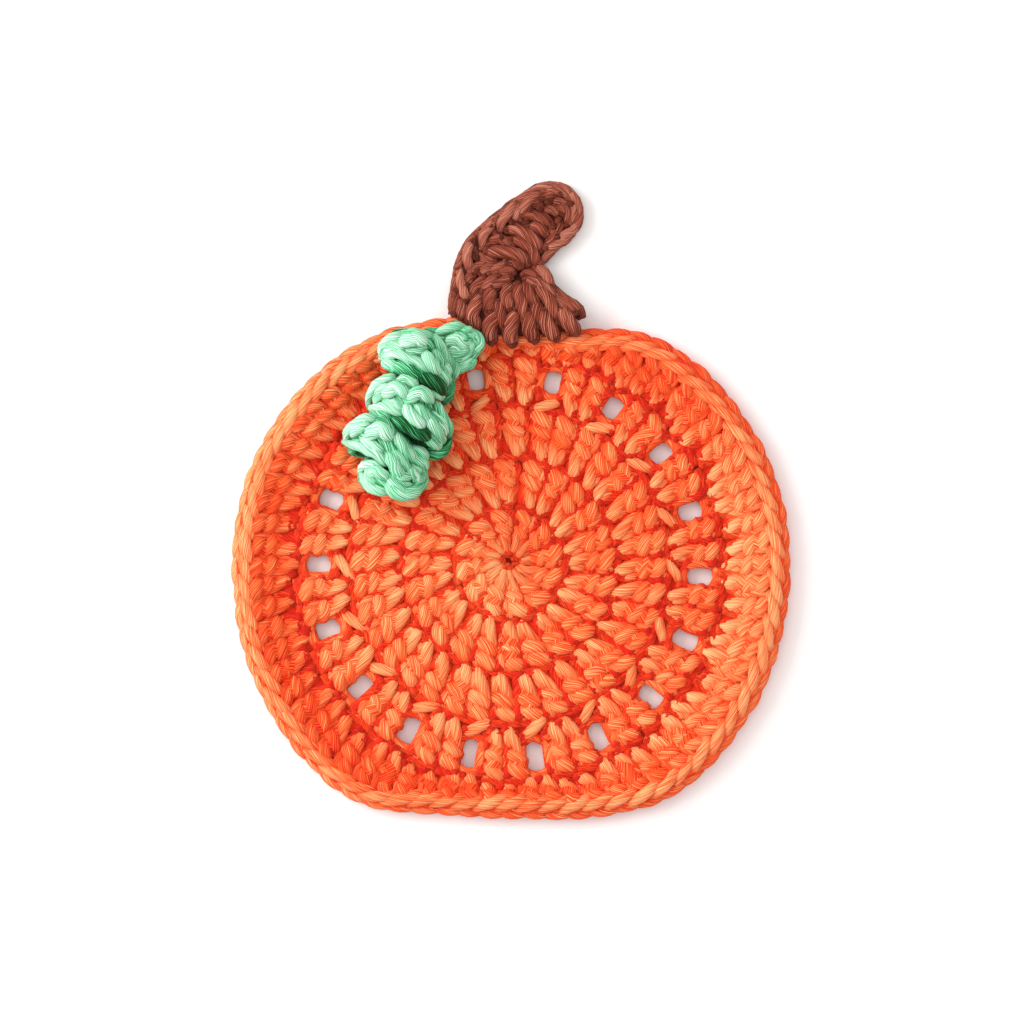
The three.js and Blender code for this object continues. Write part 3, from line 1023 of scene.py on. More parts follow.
                # Painted shade on the rim by angle; the outer legs get painted shade at the right and
                # painted light at the left
                depth = link.depth + self._rim_shade(angle)
                if leg in (RIM_OUTER, RIM_LOWER):
                    depth = depth + self.edge_deepening * sine - self.edge_lifting * left
                rows.append(np.stack([x, y, *fixed, depth], axis=-1))
            points = np.stack(rows, axis=1)
            spread = self.jitter * self.rim_jitter_part
            points[..., :3] += rng.normal(0, spread, (links, 1, 3)) * SHIFT_WAYS
            points[..., 3] *= rng.normal(1, self.thickening, (links, 1))
            mesh.add(points, self.rim_rings, seed + 1 + number)

    def _core(self, material: bpy.types.Material) -> bpy.types.Object:
        """Makes the fabric under the strands, thinner than the mat's solid, coloured with painted
        shade so that it shows dark between them.

        Args:
            material: Its finish.

        Returns:
            The core, which is the sheet of cloth that the strands belong to.
        """
        core = drawn_in_copy("body", "mat_core", self.core_inset, material)
        bpy.ops.object.mode_set(mode="EDIT")
        bpy.ops.mesh.select_all(action="SELECT")
        middle = (0.0, 0.0, self.thickness / 2 * MM)
        bpy.ops.transform.resize(value=(1, 1, self.core_flattening), center_override=middle)
        bpy.ops.object.mode_set(mode="OBJECT")
        return core

    def build(self) -> list[bpy.types.Object]:
        """Builds and dresses the mat.

        Returns:
            Its pieces.
        """
        material = self.finish.build()
        core = self._core(material)
        first, second, third, fourth, fifth = self._rounds()
        inner, eyelets, outer = (YarnMesh(self.yarn) for _ in range(3))
        under = YarnMesh(Yarn(sides=self.under_sides))
        homes = ((inner, (first, second, third)), (eyelets, (fourth,)), (outer, (fifth,)))
        for face in Face:
            seed = self.top_seed if face is Face.TOP else self.under_seed
            for mesh, rounds in homes:
                for posts in rounds:
                    self._posts(mesh if face is Face.TOP else under, posts, seed, face)
                    seed += self.seed_step
            self._eyelets(eyelets if face is Face.TOP else under, seed, face)
        rim = YarnMesh(self.yarn)
        self._rim(rim, self.rim_seed)
        yarns = [
            inner.build("mat_inner_rounds", material),
            eyelets.build("mat_eyelet_round", material),
            outer.build("mat_outer_round", material),
            rim.build("mat_rim", material),
            under.build("mat_underside", material),
        ]
        pieces = [core, *yarns]
        put_on(pieces, "body")
        return pieces


@dataclass(frozen=True)
class Strand:
    """A strand laid through places given as mm to the right and mm up.

    Drop is how far it lies below the topmost strands, and bulk its width in parts of the yarn's.
    Shade is how much painted shade it gets besides what its drop gives, in mm of depth, painted light
    where negative.
    """

    route: tuple[tuple[float, float], ...]
    drop: float = 0.0
    bulk: float = 1.0
    shade: float = 0.0


def shaded(strands: Sequence[Strand], shade: float) -> tuple[Strand, ...]:
    """Adds painted shade to some strands, or painted light where the shade is negative."""
    return tuple(replace(strand, shade=strand.shade + shade) for strand in strands)


# What happens to a strand at both ends: mm down, mm of painted shade where it dives under its
# neighbours, and part of its width
STRAND_POINTS = 9
END_SINK = 1.7
END_DARKENING = 0.3
END_SLIMMING = 0.5


def laid(strands: Sequence[Strand], jitter: float, seed: int) -> np.ndarray:
    """Runs strands along their routes, with both ends dropped under their neighbours, thinner and
    with painted shade.

    Args:
        strands: The strands.
        jitter: How far a place may wander.
        seed: Start of the random shifts.

    Returns:
        Strands, points, and right, up, drop, bulk and the depth of their painted shade.
    """
    rng = np.random.default_rng(seed)
    part = np.linspace(-1, 1, STRAND_POINTS)
    rows = []
    for strand in strands:
        place = through(np.array([strand.route]), STRAND_POINTS)[0]
        drop = strand.drop + END_SINK * part**4
        bulk = strand.bulk * (1 - END_SLIMMING * part**4)
        # Painted shade: from the strand's drop and shade, and more towards its ends
        depth = strand.drop + strand.shade + END_DARKENING * part**4
        rows.append(np.column_stack([place, drop, bulk, depth]))
    points = np.array(rows)
    points[..., :2] += rng.normal(0, jitter, points[..., :2].shape)
    return points


def under_camera(x: np.ndarray, y: np.ndarray, height: np.ndarray) -> tuple[np.ndarray, np.ndarray]:
    """Finds where a place seen from above truly lies, as a raised one looks further out.

    Args:
        x: Places across, as seen at the height that the camera is set to.
        y: Places up.
        height: How high they lie.

    Returns:
        The true x and y.
    """
    nearer = 1 - (height - FOCUS_HEIGHT) / CAMERA_DISTANCE
    return x * nearer, (y + CAMERA_DOWN) * nearer - CAMERA_DOWN


# Right and up from the pit where the stem's stitches meet
STEM_OUTER_LEGS = (
    Strand(((-15.0, -9.6), (-15.3, -6.4), (-14.7, -3.2)), 0.5, 0.75),
    Strand(((-15.1, -5.2), (-14.5, -1.8), (-14.1, 1.2)), 0.5, 0.75),
    Strand(((-14.5, -0.8), (-13.5, 2.8), (-12.2, 6.0)), 0.4, 0.75),
    Strand(((-13.1, 4.0), (-11.2, 7.4), (-8.6, 9.9)), 0.4, 0.75),
    Strand(((-10.4, 8.3), (-7.4, 10.9), (-4.5, 12.6)), 0.4, 0.75),
    Strand(((-6.4, 11.4), (-3.0, 13.8), (-0.6, 16.2)), 0.4, 0.75),
    Strand(((-2.2, 14.5), (0.7, 17.2), (3.7, 18.8)), 0.4, 0.75),
    Strand(((1.6, 17.8), (5.2, 19.4), (8.6, 19.6)), 0.2, 0.8),
    Strand(((6.4, 19.8), (9.6, 19.1), (12.1, 17.5)), 0.1, 0.8),
    Strand(((10.6, 18.6), (12.7, 16.0), (13.3, 12.5)), 0.1, 0.8),
    Strand(((13.2, 14.8), (13.0, 11.2), (11.0, 8.8)), 0.3, 0.8),
    Strand(((12.8, 10.6), (10.3, 7.8), (7.6, 5.7)), 0.4, 0.8),
    Strand(((9.4, 7.0), (6.6, 4.6), (4.4, 2.0)), 0.5, 0.8),
)
STEM_INNER_LEGS = (
    Strand(((-13.6, 1.9), (-13.5, -1.5), (-12.6, -4.2), (-11.8, -6.6)), 0.0, 0.9),
    Strand(((-10.6, 8.3), (-11.7, 5.0), (-11.7, 2.5), (-11.1, 0.2)), 0.0, 0.95),
    Strand(((-5.3, 12.6), (-7.2, 10.0), (-8.4, 8.0), (-8.7, 5.4)), 0.0, 0.95),
    Strand(((-0.9, 16.0), (-2.5, 13.8), (-4.0, 11.5), (-4.4, 9.3)), 0.0, 0.95),
    Strand(((0.3, 15.5), (-0.8, 13.5), (-1.5, 11.6)), 0.2, 0.8),
    Strand(((4.9, 18.2), (2.5, 16.8), (0.8, 14.8), (0.3, 12.6)), 0.0, 0.95),
    Strand(((4.6, 18.3), (7.0, 18.7), (9.3, 18.1), (11.2, 16.6)), 0.3, 0.85),
    Strand(((11.4, 16.6), (12.0, 14.6), (11.8, 12.6), (11.2, 10.9)), 0.2, 0.85),
    Strand(((13.2, 11.2), (11.8, 9.8), (10.0, 8.5), (8.3, 7.3)), 0.0, 0.85),
    Strand(((11.4, 8.3), (9.4, 7.0), (7.3, 6.0), (5.4, 5.0)), 0.1, 0.85),
)
STEM_HOOK = (
    Strand(((4.6, 14.7), (6.2, 17.3), (9.2, 17.8)), 0.7, 1.0),
    Strand(((4.0, 14.6), (7.0, 14.2), (9.7, 12.9)), 0.7, 1.0),
    Strand(((5.8, 16.0), (9.0, 16.0), (11.6, 15.4)), 0.8, 0.95),
    Strand(((8.4, 15.0), (9.8, 14.6), (10.7, 13.0), (10.3, 10.5)), 0.1, 0.95),
    Strand(((-0.2, 12.5), (2.5, 12.8), (5.5, 12.0), (7.2, 10.3)), 0.4, 1.1),
    Strand(((1.3, 10.6), (4.0, 10.0), (6.3, 8.5)), 0.5, 1.15),
    Strand(((-3.5, 9.5), (-1.0, 9.8), (1.5, 8.7), (3.5, 7.0), (5.2, 4.8)), 0.1, 1.2),
    Strand(((-3.0, 7.5), (0.0, 7.0), (2.5, 5.5), (3.5, 3.0), (4.1, 0.8)), 0.3, 1.1),
    Strand(((-7.5, 6.2), (-5.5, 7.6), (-3.5, 7.3), (-1.2, 5.9)), 0.4, 1.0),
    Strand(((-8.2, 5.1), (-5.0, 4.8), (-2.0, 4.6), (0.5, 3.5), (1.8, 1.6)), 0.0, 1.25),
    Strand(((-9.8, 4.1), (-8.0, 3.2), (-5.2, 2.5)), 0.4, 0.95),
    Strand(((-10.8, -0.4), (-9.7, 1.3), (-7.3, 2.3)), 0.3, 0.95),
    Strand(((-8.9, -0.4), (-7.4, 1.0), (-5.0, 2.1)), 0.2, 0.95),
    Strand(((-7.0, -0.4), (-5.0, 1.2), (-2.7, 2.1)), 0.3, 0.95),
    Strand(((-4.9, -0.6), (-3.0, 0.5), (-1.2, 0.0)), 0.3, 0.95),
    Strand(((-10.9, -5.5), (-9.7, -3.0), (-7.7, -0.8)), 0.4, 1.05),
    Strand(((-8.7, -4.2), (-7.0, -2.2), (-5.2, -0.8)), 0.3, 1.0),
    Strand(((-6.7, -3.4), (-4.5, -2.2), (-1.7, -0.9)), 0.4, 1.0),
    Strand(((-12.3, -3.2), (-11.2, -1.0), (-9.6, 0.6)), 0.7, 1.0),
    Strand(((7.2, 10.6), (7.2, 7.9), (5.6, 5.6)), 0.6, 1.05),
    Strand(((8.5, 12.2), (8.7, 10.0), (8.1, 7.8)), 0.7, 1.05),
    Strand(((2.8, 1.2), (5.0, 0.5), (6.2, -1.3), (6.9, -3.0)), -0.1, 1.05),
    Strand(((0.4, -0.4), (2.6, -0.2), (4.6, -1.4)), 0.4, 0.95),
    Strand(((1.8, 14.2), (3.4, 15.6), (5.2, 16.6)), 0.8, 1.0),
    Strand(((-10.4, 7.4), (-9.9, 5.4), (-9.7, 3.2)), 0.9, 1.0, 0.1),
    Strand(((-6.8, 10.6), (-5.6, 8.8), (-4.0, 8.0)), 0.9, 0.9, 0.1),
    Strand(((-2.2, 11.4), (-0.4, 11.6), (1.6, 11.3)), 0.9, 0.9, 0.1),
    Strand(((-3.6, 2.6), (-1.4, 2.4), (0.4, 1.2)), 0.6, 1.15, 0.1),
)
STEM_FOOT = (
    Strand(((0.8, -1.3), (3.5, -2.0), (6.0, -3.5), (9.3, -5.7)), 0.1, 1.0),
    Strand(((6.9, -2.8), (9.8, -5.6), (12.9, -7.6), (14.1, -9.8)), 0.3, 0.9),
    Strand(((6.8, -5.9), (10.2, -6.9), (13.4, -8.5)), 0.3, 0.95),
    Strand(((7.5, -8.0), (10.3, -8.2), (12.7, -9.0)), 0.6, 0.95),
    Strand(((-14.2, -3.8), (-14.4, -6.5), (-14.7, -9.4)), 0.4, 0.85),
    Strand(((-13.2, -5.6), (-13.2, -8.0), (-13.3, -10.2)), 0.2, 0.95),
    Strand(((-12.4, -6.0), (-12.0, -8.6), (-11.6, -11.0)), 0.8, 1.0),
    Strand(((-8.7, -4.6), (-10.2, -7.5), (-10.5, -10.0), (-9.2, -12.7)), 0.0, 1.3),
    Strand(((-6.1, -3.3), (-7.0, -6.0), (-7.1, -9.4)), 0.5, 1.35),
    Strand(((-5.2, -7.8), (-6.6, -11.2), (-6.9, -13.2), (-5.9, -15.7)), 0.25, 1.5),
    Strand(((-2.1, -2.3), (-3.2, -5.5), (-2.2, -8.4)), 0.2, 1.25),
    Strand(((-5.2, -6.1), (-4.6, -9.0), (-3.2, -12.6)), 0.5, 1.35),
    Strand(((-0.6, -7.8), (-2.0, -11.4), (-2.3, -13.6), (-1.5, -16.2)), 0.15, 1.5),
    Strand(((-0.8, -2.0), (-0.5, -4.8), (0.3, -7.0), (0.7, -10.6)), 0.2, 1.3),
    Strand(((1.6, -7.8), (2.0, -11.2), (2.4, -13.1), (3.5, -15.3)), 0.15, 1.5),
    Strand(((0.8, -2.3), (2.2, -5.0), (3.7, -7.8)), 0.2, 1.2),
    Strand(((3.0, -6.2), (3.8, -9.0), (4.5, -12.2)), 0.5, 1.3),
    Strand(((4.9, -7.9), (5.9, -11.0), (6.8, -12.7), (8.2, -14.8)), 0.15, 1.5),
    Strand(((2.6, -2.9), (5.5, -5.0), (7.0, -7.0), (8.7, -11.4)), 0.2, 1.25),
    Strand(((8.7, -7.7), (10.2, -10.2), (11.3, -11.6), (12.7, -13.4)), 0.15, 1.5),
)
STEM_EDGE_FILLING = (
    Strand(((-14.2, -9.6), (-14.0, -4.5), (-12.8, 1.5), (-10.3, 7.2)), 1.7, 1.3),
    Strand(((-11.4, 5.2), (-7.6, 9.8), (-3.0, 14.0), (0.9, 17.1)), 1.7, 1.3),
    Strand(((-0.4, 16.2), (5.0, 18.7), (10.2, 17.5), (12.0, 13.0)), 1.7, 1.3),
    Strand(((12.0, 14.0), (11.1, 10.0), (8.0, 6.8), (4.6, 3.2)), 1.7, 1.3),
    Strand(((4.8, 0.2), (7.6, -4.4), (11.6, -7.8), (13.2, -9.8)), 1.7, 1.3),
)


@dataclass
class Stem:
    """The brown stem, sewn over the upper edge of the mat.

    The shades are how much painted shade each group of strands gets, in mm of depth: painted light on
    the inner legs, where it is negative, and painted shade on the hook and the foot.
    """

    shape: MatShape
    yarn: Yarn
    finish: CottonFinish
    pit: tuple[float, float] = (2.5, 64.3)
    lift: float = 4.9
    thickness: float = 4.0
    face_gap: float = 0.1
    past_edge: float = 1.0
    slope: float = 13.0
    core_inset: float = 1.2
    jitter: float = 0.08
    inner_shade: float = -0.4
    hook_shade: float = 0.65
    foot_shade: float = 0.95
    top_rings: int = 12
    under_rings: int = 8
    seeds: tuple[int, int, int, int] = (31, 32, 33, 34)
    flat_area_m2: float = 0.00062

    def _rest(self, up: np.ndarray) -> np.ndarray:
        """Height that the stem rests at, over the mat and down its edge.

        Args:
            up: Distances above the middle of the rounds.

        Returns:
            Heights of the stem's underside.
        """
        edge = float(self.shape.edge(np.zeros(1))[0]) + self.past_edge
        beyond = np.clip((up - edge) / self.slope, 0.0, 1.0)
        return self.lift * (1 - beyond * beyond * (3 - 2 * beyond))

    def _strands(self, strands: Sequence[Strand], seed: int, face: Face) -> np.ndarray:
        """Lays strands on one face of the stem.

        Args:
            strands: Their places.
            seed: Start of the random shifts.
            face: The face that they show on.

        Returns:
            Strands, points, and x, y, z, bulk and the depth of their painted shade.
        """
        right, up, drop, bulk, depth = np.moveaxis(laid(strands, self.jitter, seed), -1, 0)
        right, up = right + self.pit[0], up + self.pit[1]
        level = self.yarn.thickness / 2 + self.face_gap + drop
        height = self._rest(up) + (self.thickness - level if face is Face.TOP else level)
        x, y = under_camera(self.shape.middle[0] + right, self.shape.middle[1] + up, height)
        return np.stack([x, y, height, bulk, depth], axis=-1)

    def build(self) -> list[bpy.types.Object]:
        """Builds and dresses the stem.

        Returns:
            Its pieces.
        """
        material = self.finish.build()
        core = drawn_in_copy("stem", "stem_core", self.core_inset, material)
        yarn = YarnMesh(self.yarn)
        # Painted light on the inner legs, painted shade on the hook and the foot
        inner = shaded(STEM_INNER_LEGS, self.inner_shade)
        hook = shaded(STEM_HOOK, self.hook_shade)
        foot = shaded(STEM_FOOT, self.foot_shade)
        shown = (*STEM_OUTER_LEGS, *inner, *hook, *foot)
        top_seed, top_tones, under_seed, under_tones = self.seeds
        top = self._strands((*shown, *STEM_EDGE_FILLING), top_seed, Face.TOP)
        yarn.add(top, self.top_rings, top_tones)
        under = self._strands(shown, under_seed, Face.UNDER)
        yarn.add(under, self.under_rings, under_tones, (0.0, 0.0, Face.UNDER.value))
        pieces = [core, yarn.build("stem_yarn", material)]
        put_on(pieces, "stem")
        return pieces


@dataclass(frozen=True)
class Coil:
    """A place on the tendril's corkscrew: turns done, middle of the coil, and half its width."""

    turn: float
    right: float
    up: float
    half_width: float


COILS = (
    Coil(0.3, -13.0, 47.5, 4.5),
    Coil(0.75, -20.8, 46.9, 4.2),
    Coil(1.25, -21.7, 40.4, 4.2),
    Coil(1.75, -22.5, 35.2, 4.2),
    Coil(2.25, -22.2, 29.2, 3.7),
    Coil(2.75, -28.2, 26.8, 3.4),
    Coil(3.25, -26.5, 21.8, 3.2),
    Coil(3.75, -25.6, 19.6, 3.1),
    Coil(4.12, -25.0, 16.5, 2.9),
)
# Across is in stitches along the strip, and along in half widths of the strip, its upper edge 1
COIL_STITCH = (
    (
        Bend(-0.65, -0.62, 1.5, 0.5),
        Bend(-0.35, -0.86, 0.4, 0.9),
        Bend(0.10, -0.86, 0.1, 1.0),
        Bend(0.55, -0.66, 0.4, 0.9),
        Bend(0.80, -0.45, 1.5, 0.5),
    ),
    (
        Bend(-0.55, -0.25, 1.6, 0.5),
        Bend(-0.30, -0.50, 0.5, 0.9),
        Bend(0.10, -0.52, 0.1, 1.0),
        Bend(0.45, -0.38, 0.5, 0.9),
        Bend(0.70, -0.15, 1.6, 0.5),
    ),
    (
        Bend(-0.42, 0.30, 1.6, 0.5),
        Bend(-0.36, 0.20, 0.5, 1.0),
        Bend(-0.02, 0.00, -0.3, 1.3),
        Bend(0.34, -0.22, 0.4, 1.1),
        Bend(0.44, -0.32, 1.6, 0.5),
    ),
    (
        Bend(-0.40, 0.66, 1.5, 0.5),
        Bend(-0.32, 0.58, 0.3, 1.1),
        Bend(0.00, 0.45, -0.4, 1.35),
        Bend(0.32, 0.28, 0.3, 1.1),
        Bend(0.42, 0.20, 1.6, 0.5),
    ),
    (
        Bend(-0.60, 0.92, 1.6, 0.5),
        Bend(-0.25, 0.88, 0.5, 0.9),
        Bend(0.15, 0.84, 0.3, 1.0),
        Bend(0.55, 0.90, 1.5, 0.5),
    ),
    (
        Bend(-0.60, 0.5, 3.2, 0.5),
        Bend(-0.25, 0.4, 3.7, 0.9),
        Bend(0.25, 0.2, 3.7, 0.9),
        Bend(0.60, 0.1, 3.2, 0.5),
    ),
    (
        Bend(-0.60, -0.1, 3.2, 0.5),
        Bend(-0.25, -0.3, 3.7, 0.9),
        Bend(0.25, -0.5, 3.7, 0.9),
        Bend(0.60, -0.6, 3.2, 0.5),
    ),
)


@dataclass(frozen=True)
class Arch:
    """The arch that a band of the curl makes over the mat: its middle, half span and heights.

    Shade is how much painted shade its strands get, in mm of depth, and steepest the part of the half
    span past which its strands lean no further.
    """

    STEEPEST = 0.97
    middle: float
    half_span: float
    top: float
    foot: float
    shade: float = 0.0

    def height(self, right: np.ndarray) -> np.ndarray:
        """Height of the arch at places to the right of the middle of the rounds."""
        part = np.clip(np.abs(right - self.middle) / self.half_span, 0.0, 1.0)
        return self.foot + (self.top - self.foot) * np.sqrt(1 - part * part)

    def facing(self, right: np.ndarray) -> np.ndarray:
        """The way that the arch looks at those places."""
        part = (right - self.middle) / self.half_span
        part = np.clip(part, -self.STEEPEST, self.STEEPEST)
        rise = self.top - self.foot
        sideways = part / self.half_span
        upwards = np.sqrt(1 - part * part) / rise
        return unit(np.stack([sideways, 0 * part, upwards], axis=-1))


# Right and up from the middle of the rounds
FIRST_BAND = (
    Strand(((-28.3, 45.3), (-28.1, 48.0), (-26.2, 49.9), (-23.3, 50.8)), 0.2, 0.95),
    Strand(((-24.6, 50.6), (-20.8, 50.9), (-17.1, 50.3)), 0.6, 0.9),
    Strand(((-28.8, 45.2), (-25.5, 46.2), (-22.0, 45.2), (-19.3, 43.9), (-16.4, 41.8)), 0.0, 0.92),
    Strand(((-27.8, 46.7), (-25.6, 48.1), (-22.8, 47.5)), 0.3, 1.0),
    Strand(((-24.1, 48.4), (-21.5, 49.7), (-18.5, 48.9)), -0.5, 1.35),
    Strand(((-23.6, 47.2), (-20.6, 47.0), (-18.2, 48.0)), 0.4, 0.85),
    Strand(((-17.6, 50.6), (-15.6, 48.4), (-14.1, 46.0), (-12.8, 43.5), (-12.4, 41.5)), 0.3, 1.0),
    Strand(((-19.1, 46.7), (-17.4, 44.3), (-15.6, 41.8)), -0.3, 1.2),
    Strand(((-17.0, 47.2), (-15.4, 45.3), (-14.2, 43.6)), 0.2, 1.0),
    Strand(((-27.5, 46.8), (-22.0, 46.6), (-16.6, 44.3)), 1.8, 1.5),
    Strand(((-26.2, 49.2), (-21.0, 49.2), (-15.6, 47.4)), 1.8, 1.5),
)
FIRST_BACK = (
    Strand(((-13.3, 43.3), (-13.0, 40.5), (-13.3, 38.0), (-14.6, 35.1)), 0.3, 1.05),
    Strand(((-15.1, 42.8), (-14.7, 39.5), (-14.9, 36.6)), 0.5, 1.05),
    Strand(((-16.9, 42.2), (-16.8, 39.6), (-17.8, 37.4)), 1.4, 1.2),
)
INSIDES = (
    Strand(((-27.4, 43.9), (-24.9, 43.8), (-22.0, 42.9), (-19.0, 40.8)), 0.0, 1.2),
    Strand(((-26.2, 42.3), (-23.6, 42.4), (-20.8, 41.2)), 0.4, 1.2),
    Strand(((-22.9, 31.2), (-20.8, 29.6), (-18.6, 27.0)), 0.6, 1.2),
    Strand(((-24.0, 29.0), (-21.4, 27.6), (-19.2, 25.2)), 0.2, 1.2),
)
FIRST_LIP = (
    Strand(((-28.0, 44.2), (-26.4, 43.8), (-24.6, 43.2)), 0.0, 1.2, -0.2),
    Strand(((-26.2, 43.6), (-23.6, 43.2), (-21.0, 42.2), (-19.4, 41.2)), 0.0, 1.5, 1.5),
    Strand(((-20.8, 42.2), (-18.3, 40.8), (-15.9, 39.4), (-14.2, 37.6)), 0.1, 1.4, 2.3),
)
SECOND_LIP = (
    Strand(((-30.8, 33.4), (-28.4, 32.8), (-26.0, 31.9)), 0.0, 1.2, 0.2),
    Strand(((-27.0, 32.1), (-23.3, 30.6), (-20.3, 28.9), (-17.6, 27.7)), 0.1, 1.4, 2.2),
)
SECOND_BAND = (
    Strand(((-31.1, 33.9), (-31.0, 37.0), (-29.8, 39.2), (-27.4, 40.9), (-25.2, 41.3)), 0.2, 0.9),
    Strand(((-29.8, 35.3), (-28.9, 37.5), (-26.8, 40.2)), 0.3, 0.95),
    Strand(((-25.2, 39.6), (-22.8, 40.7), (-20.2, 38.5)), 0.4, 1.0),
    Strand(((-28.0, 37.0), (-25.3, 38.8), (-22.6, 36.9)), -0.4, 1.3),
    Strand(((-22.7, 35.8), (-19.8, 37.7), (-17.1, 35.8)), -0.4, 1.3),
    Strand(((-31.3, 34.1), (-28.5, 34.4), (-26.0, 33.9), (-23.3, 32.8)), 0.0, 0.9),
    Strand(((-28.1, 35.8), (-25.5, 35.1), (-23.4, 34.1)), 0.3, 0.95),
    Strand(((-23.3, 34.7), (-21.5, 32.3), (-18.9, 30.0)), -0.2, 1.2),
    Strand(((-20.9, 35.2), (-19.2, 33.1), (-17.0, 31.2)), 0.3, 1.1),
    Strand(((-18.6, 32.2), (-16.8, 30.4), (-14.8, 27.8)), 0.0, 1.12),
    Strand(((-16.5, 35.5), (-15.0, 33.0), (-13.7, 30.2), (-13.4, 28.0)), 0.2, 1.0),
    Strand(((-29.8, 36.8), (-26.0, 36.9), (-21.0, 34.4), (-16.0, 31.4)), 1.8, 1.5),
    Strand(((-28.0, 39.2), (-22.5, 38.5), (-17.0, 33.8)), 1.8, 1.5),
)
SECOND_BACK = (
    Strand(((-13.4, 28.2), (-13.9, 25.8), (-15.7, 23.9), (-18.9, 23.3)), 0.3, 1.0),
    Strand(((-15.0, 28.2), (-15.9, 25.8), (-18.2, 24.9)), 0.9, 1.15),
    Strand(((-17.3, 28.8), (-17.8, 26.8), (-19.6, 25.6)), 1.5, 1.15),
)
THIRD_BAND = (
    Strand(((-36.6, 26.6), (-36.1, 29.0), (-34.4, 30.8), (-31.7, 31.9), (-29.3, 31.8)), 0.2, 0.9),
    Strand(((-35.1, 28.0), (-33.4, 29.8), (-30.8, 31.0)), 0.3, 1.0),
    Strand(((-31.9, 27.4), (-29.0, 29.5), (-26.2, 27.5)), -0.4, 1.45),
    Strand(((-30.7, 31.4), (-28.0, 31.1), (-26.3, 29.2), (-25.9, 26.8)), 0.6, 1.0, 1.8),
    Strand(((-36.8, 26.6), (-34.0, 25.8), (-31.3, 24.6), (-28.7, 23.0), (-26.8, 21.4)), 0.0, 0.9),
    Strand(((-33.2, 27.2), (-30.5, 25.8), (-28.0, 24.7)), 0.2, 1.0),
    Strand(((-27.4, 24.1), (-25.7, 21.4), (-23.6, 18.6)), -0.2, 1.2),
    Strand(((-26.1, 24.8), (-23.8, 22.4), (-22.4, 20.1)), 0.1, 0.9),
    Strand(((-25.6, 28.7), (-24.0, 26.5), (-22.3, 24.0), (-20.9, 21.8)), 0.0, 1.1),
    Strand(((-23.2, 26.3), (-21.2, 23.5), (-19.9, 21.3)), 0.2, 1.0),
    Strand(((-22.8, 21.2), (-21.0, 19.0), (-19.9, 17.2)), 0.1, 1.0),
    Strand(((-20.8, 21.8), (-19.6, 19.5), (-19.2, 17.3)), 0.3, 0.9),
    Strand(((-19.5, 21.8), (-18.9, 19.3), (-18.9, 17.4), (-20.0, 15.4)), 0.7, 0.9),
    Strand(((-35.0, 28.2), (-30.0, 28.0), (-25.2, 24.3), (-20.8, 20.3)), 1.8, 1.5),
    Strand(((-32.8, 30.3), (-28.0, 29.5), (-23.8, 26.4), (-20.4, 21.8)), 1.8, 1.5),
)
FOURTH_BAND = (
    Strand(((-33.4, 19.9), (-32.2, 21.5), (-30.3, 21.8), (-28.3, 20.9)), 0.2, 0.85),
    Strand(((-33.2, 20.1), (-32.3, 18.0), (-30.9, 16.5), (-28.8, 15.7), (-27.0, 15.5)), 0.5, 0.95),
    Strand(((-31.2, 19.3), (-29.5, 20.1), (-26.8, 18.4)), 0.0, 1.15),
    Strand(((-31.2, 21.0), (-31.3, 19.3), (-29.7, 17.1)), 0.6, 0.9),
    Strand(((-27.4, 17.5), (-25.8, 15.5), (-23.3, 14.8), (-20.9, 15.8), (-19.7, 17.8)), -0.2, 1.2),
    Strand(((-27.2, 18.2), (-24.7, 16.9), (-22.1, 16.8)), 0.3, 1.1),
    Strand(((-26.4, 20.2), (-24.4, 18.6), (-21.9, 19.4)), 0.7, 1.1),
    Strand(((-32.0, 19.5), (-28.0, 18.0), (-24.0, 16.9), (-20.6, 17.2)), 1.8, 1.5),
)
LEAF = (
    Strand(((-16.7, 50.6), (-14.0, 51.9), (-11.8, 52.6), (-9.8, 51.8)), 0.4, 0.9),
    Strand(((-11.5, 52.7), (-8.6, 51.2), (-6.6, 49.7), (-6.5, 48.0), (-9.2, 44.3)), 0.2, 0.85),
    Strand(((-7.7, 46.1), (-9.4, 44.1), (-11.5, 42.3)), 0.3, 0.85),
    Strand(((-9.2, 50.2), (-8.4, 47.6), (-10.0, 45.6), (-12.2, 44.0)), 0.0, 0.85),
    Strand(((-14.4, 48.7), (-11.5, 49.2), (-9.0, 48.0)), -0.5, 1.2),
    Strand(((-14.0, 47.1), (-11.5, 47.5), (-9.4, 46.7)), -0.3, 1.1),
    Strand(((-14.3, 46.4), (-12.6, 43.8), (-12.1, 41.0)), 0.1, 1.1),
    Strand(((-14.8, 50.4), (-10.2, 49.9), (-8.2, 47.3), (-11.2, 43.4)), 1.2, 1.5),
    Strand(((-14.6, 46.6), (-12.2, 45.7), (-9.6, 46.2)), 0.1, 1.3, 0.7),
    Strand(((-11.6, 50.4), (-10.0, 49.8), (-8.4, 49.2)), 0.1, 1.0, 0.7),
)
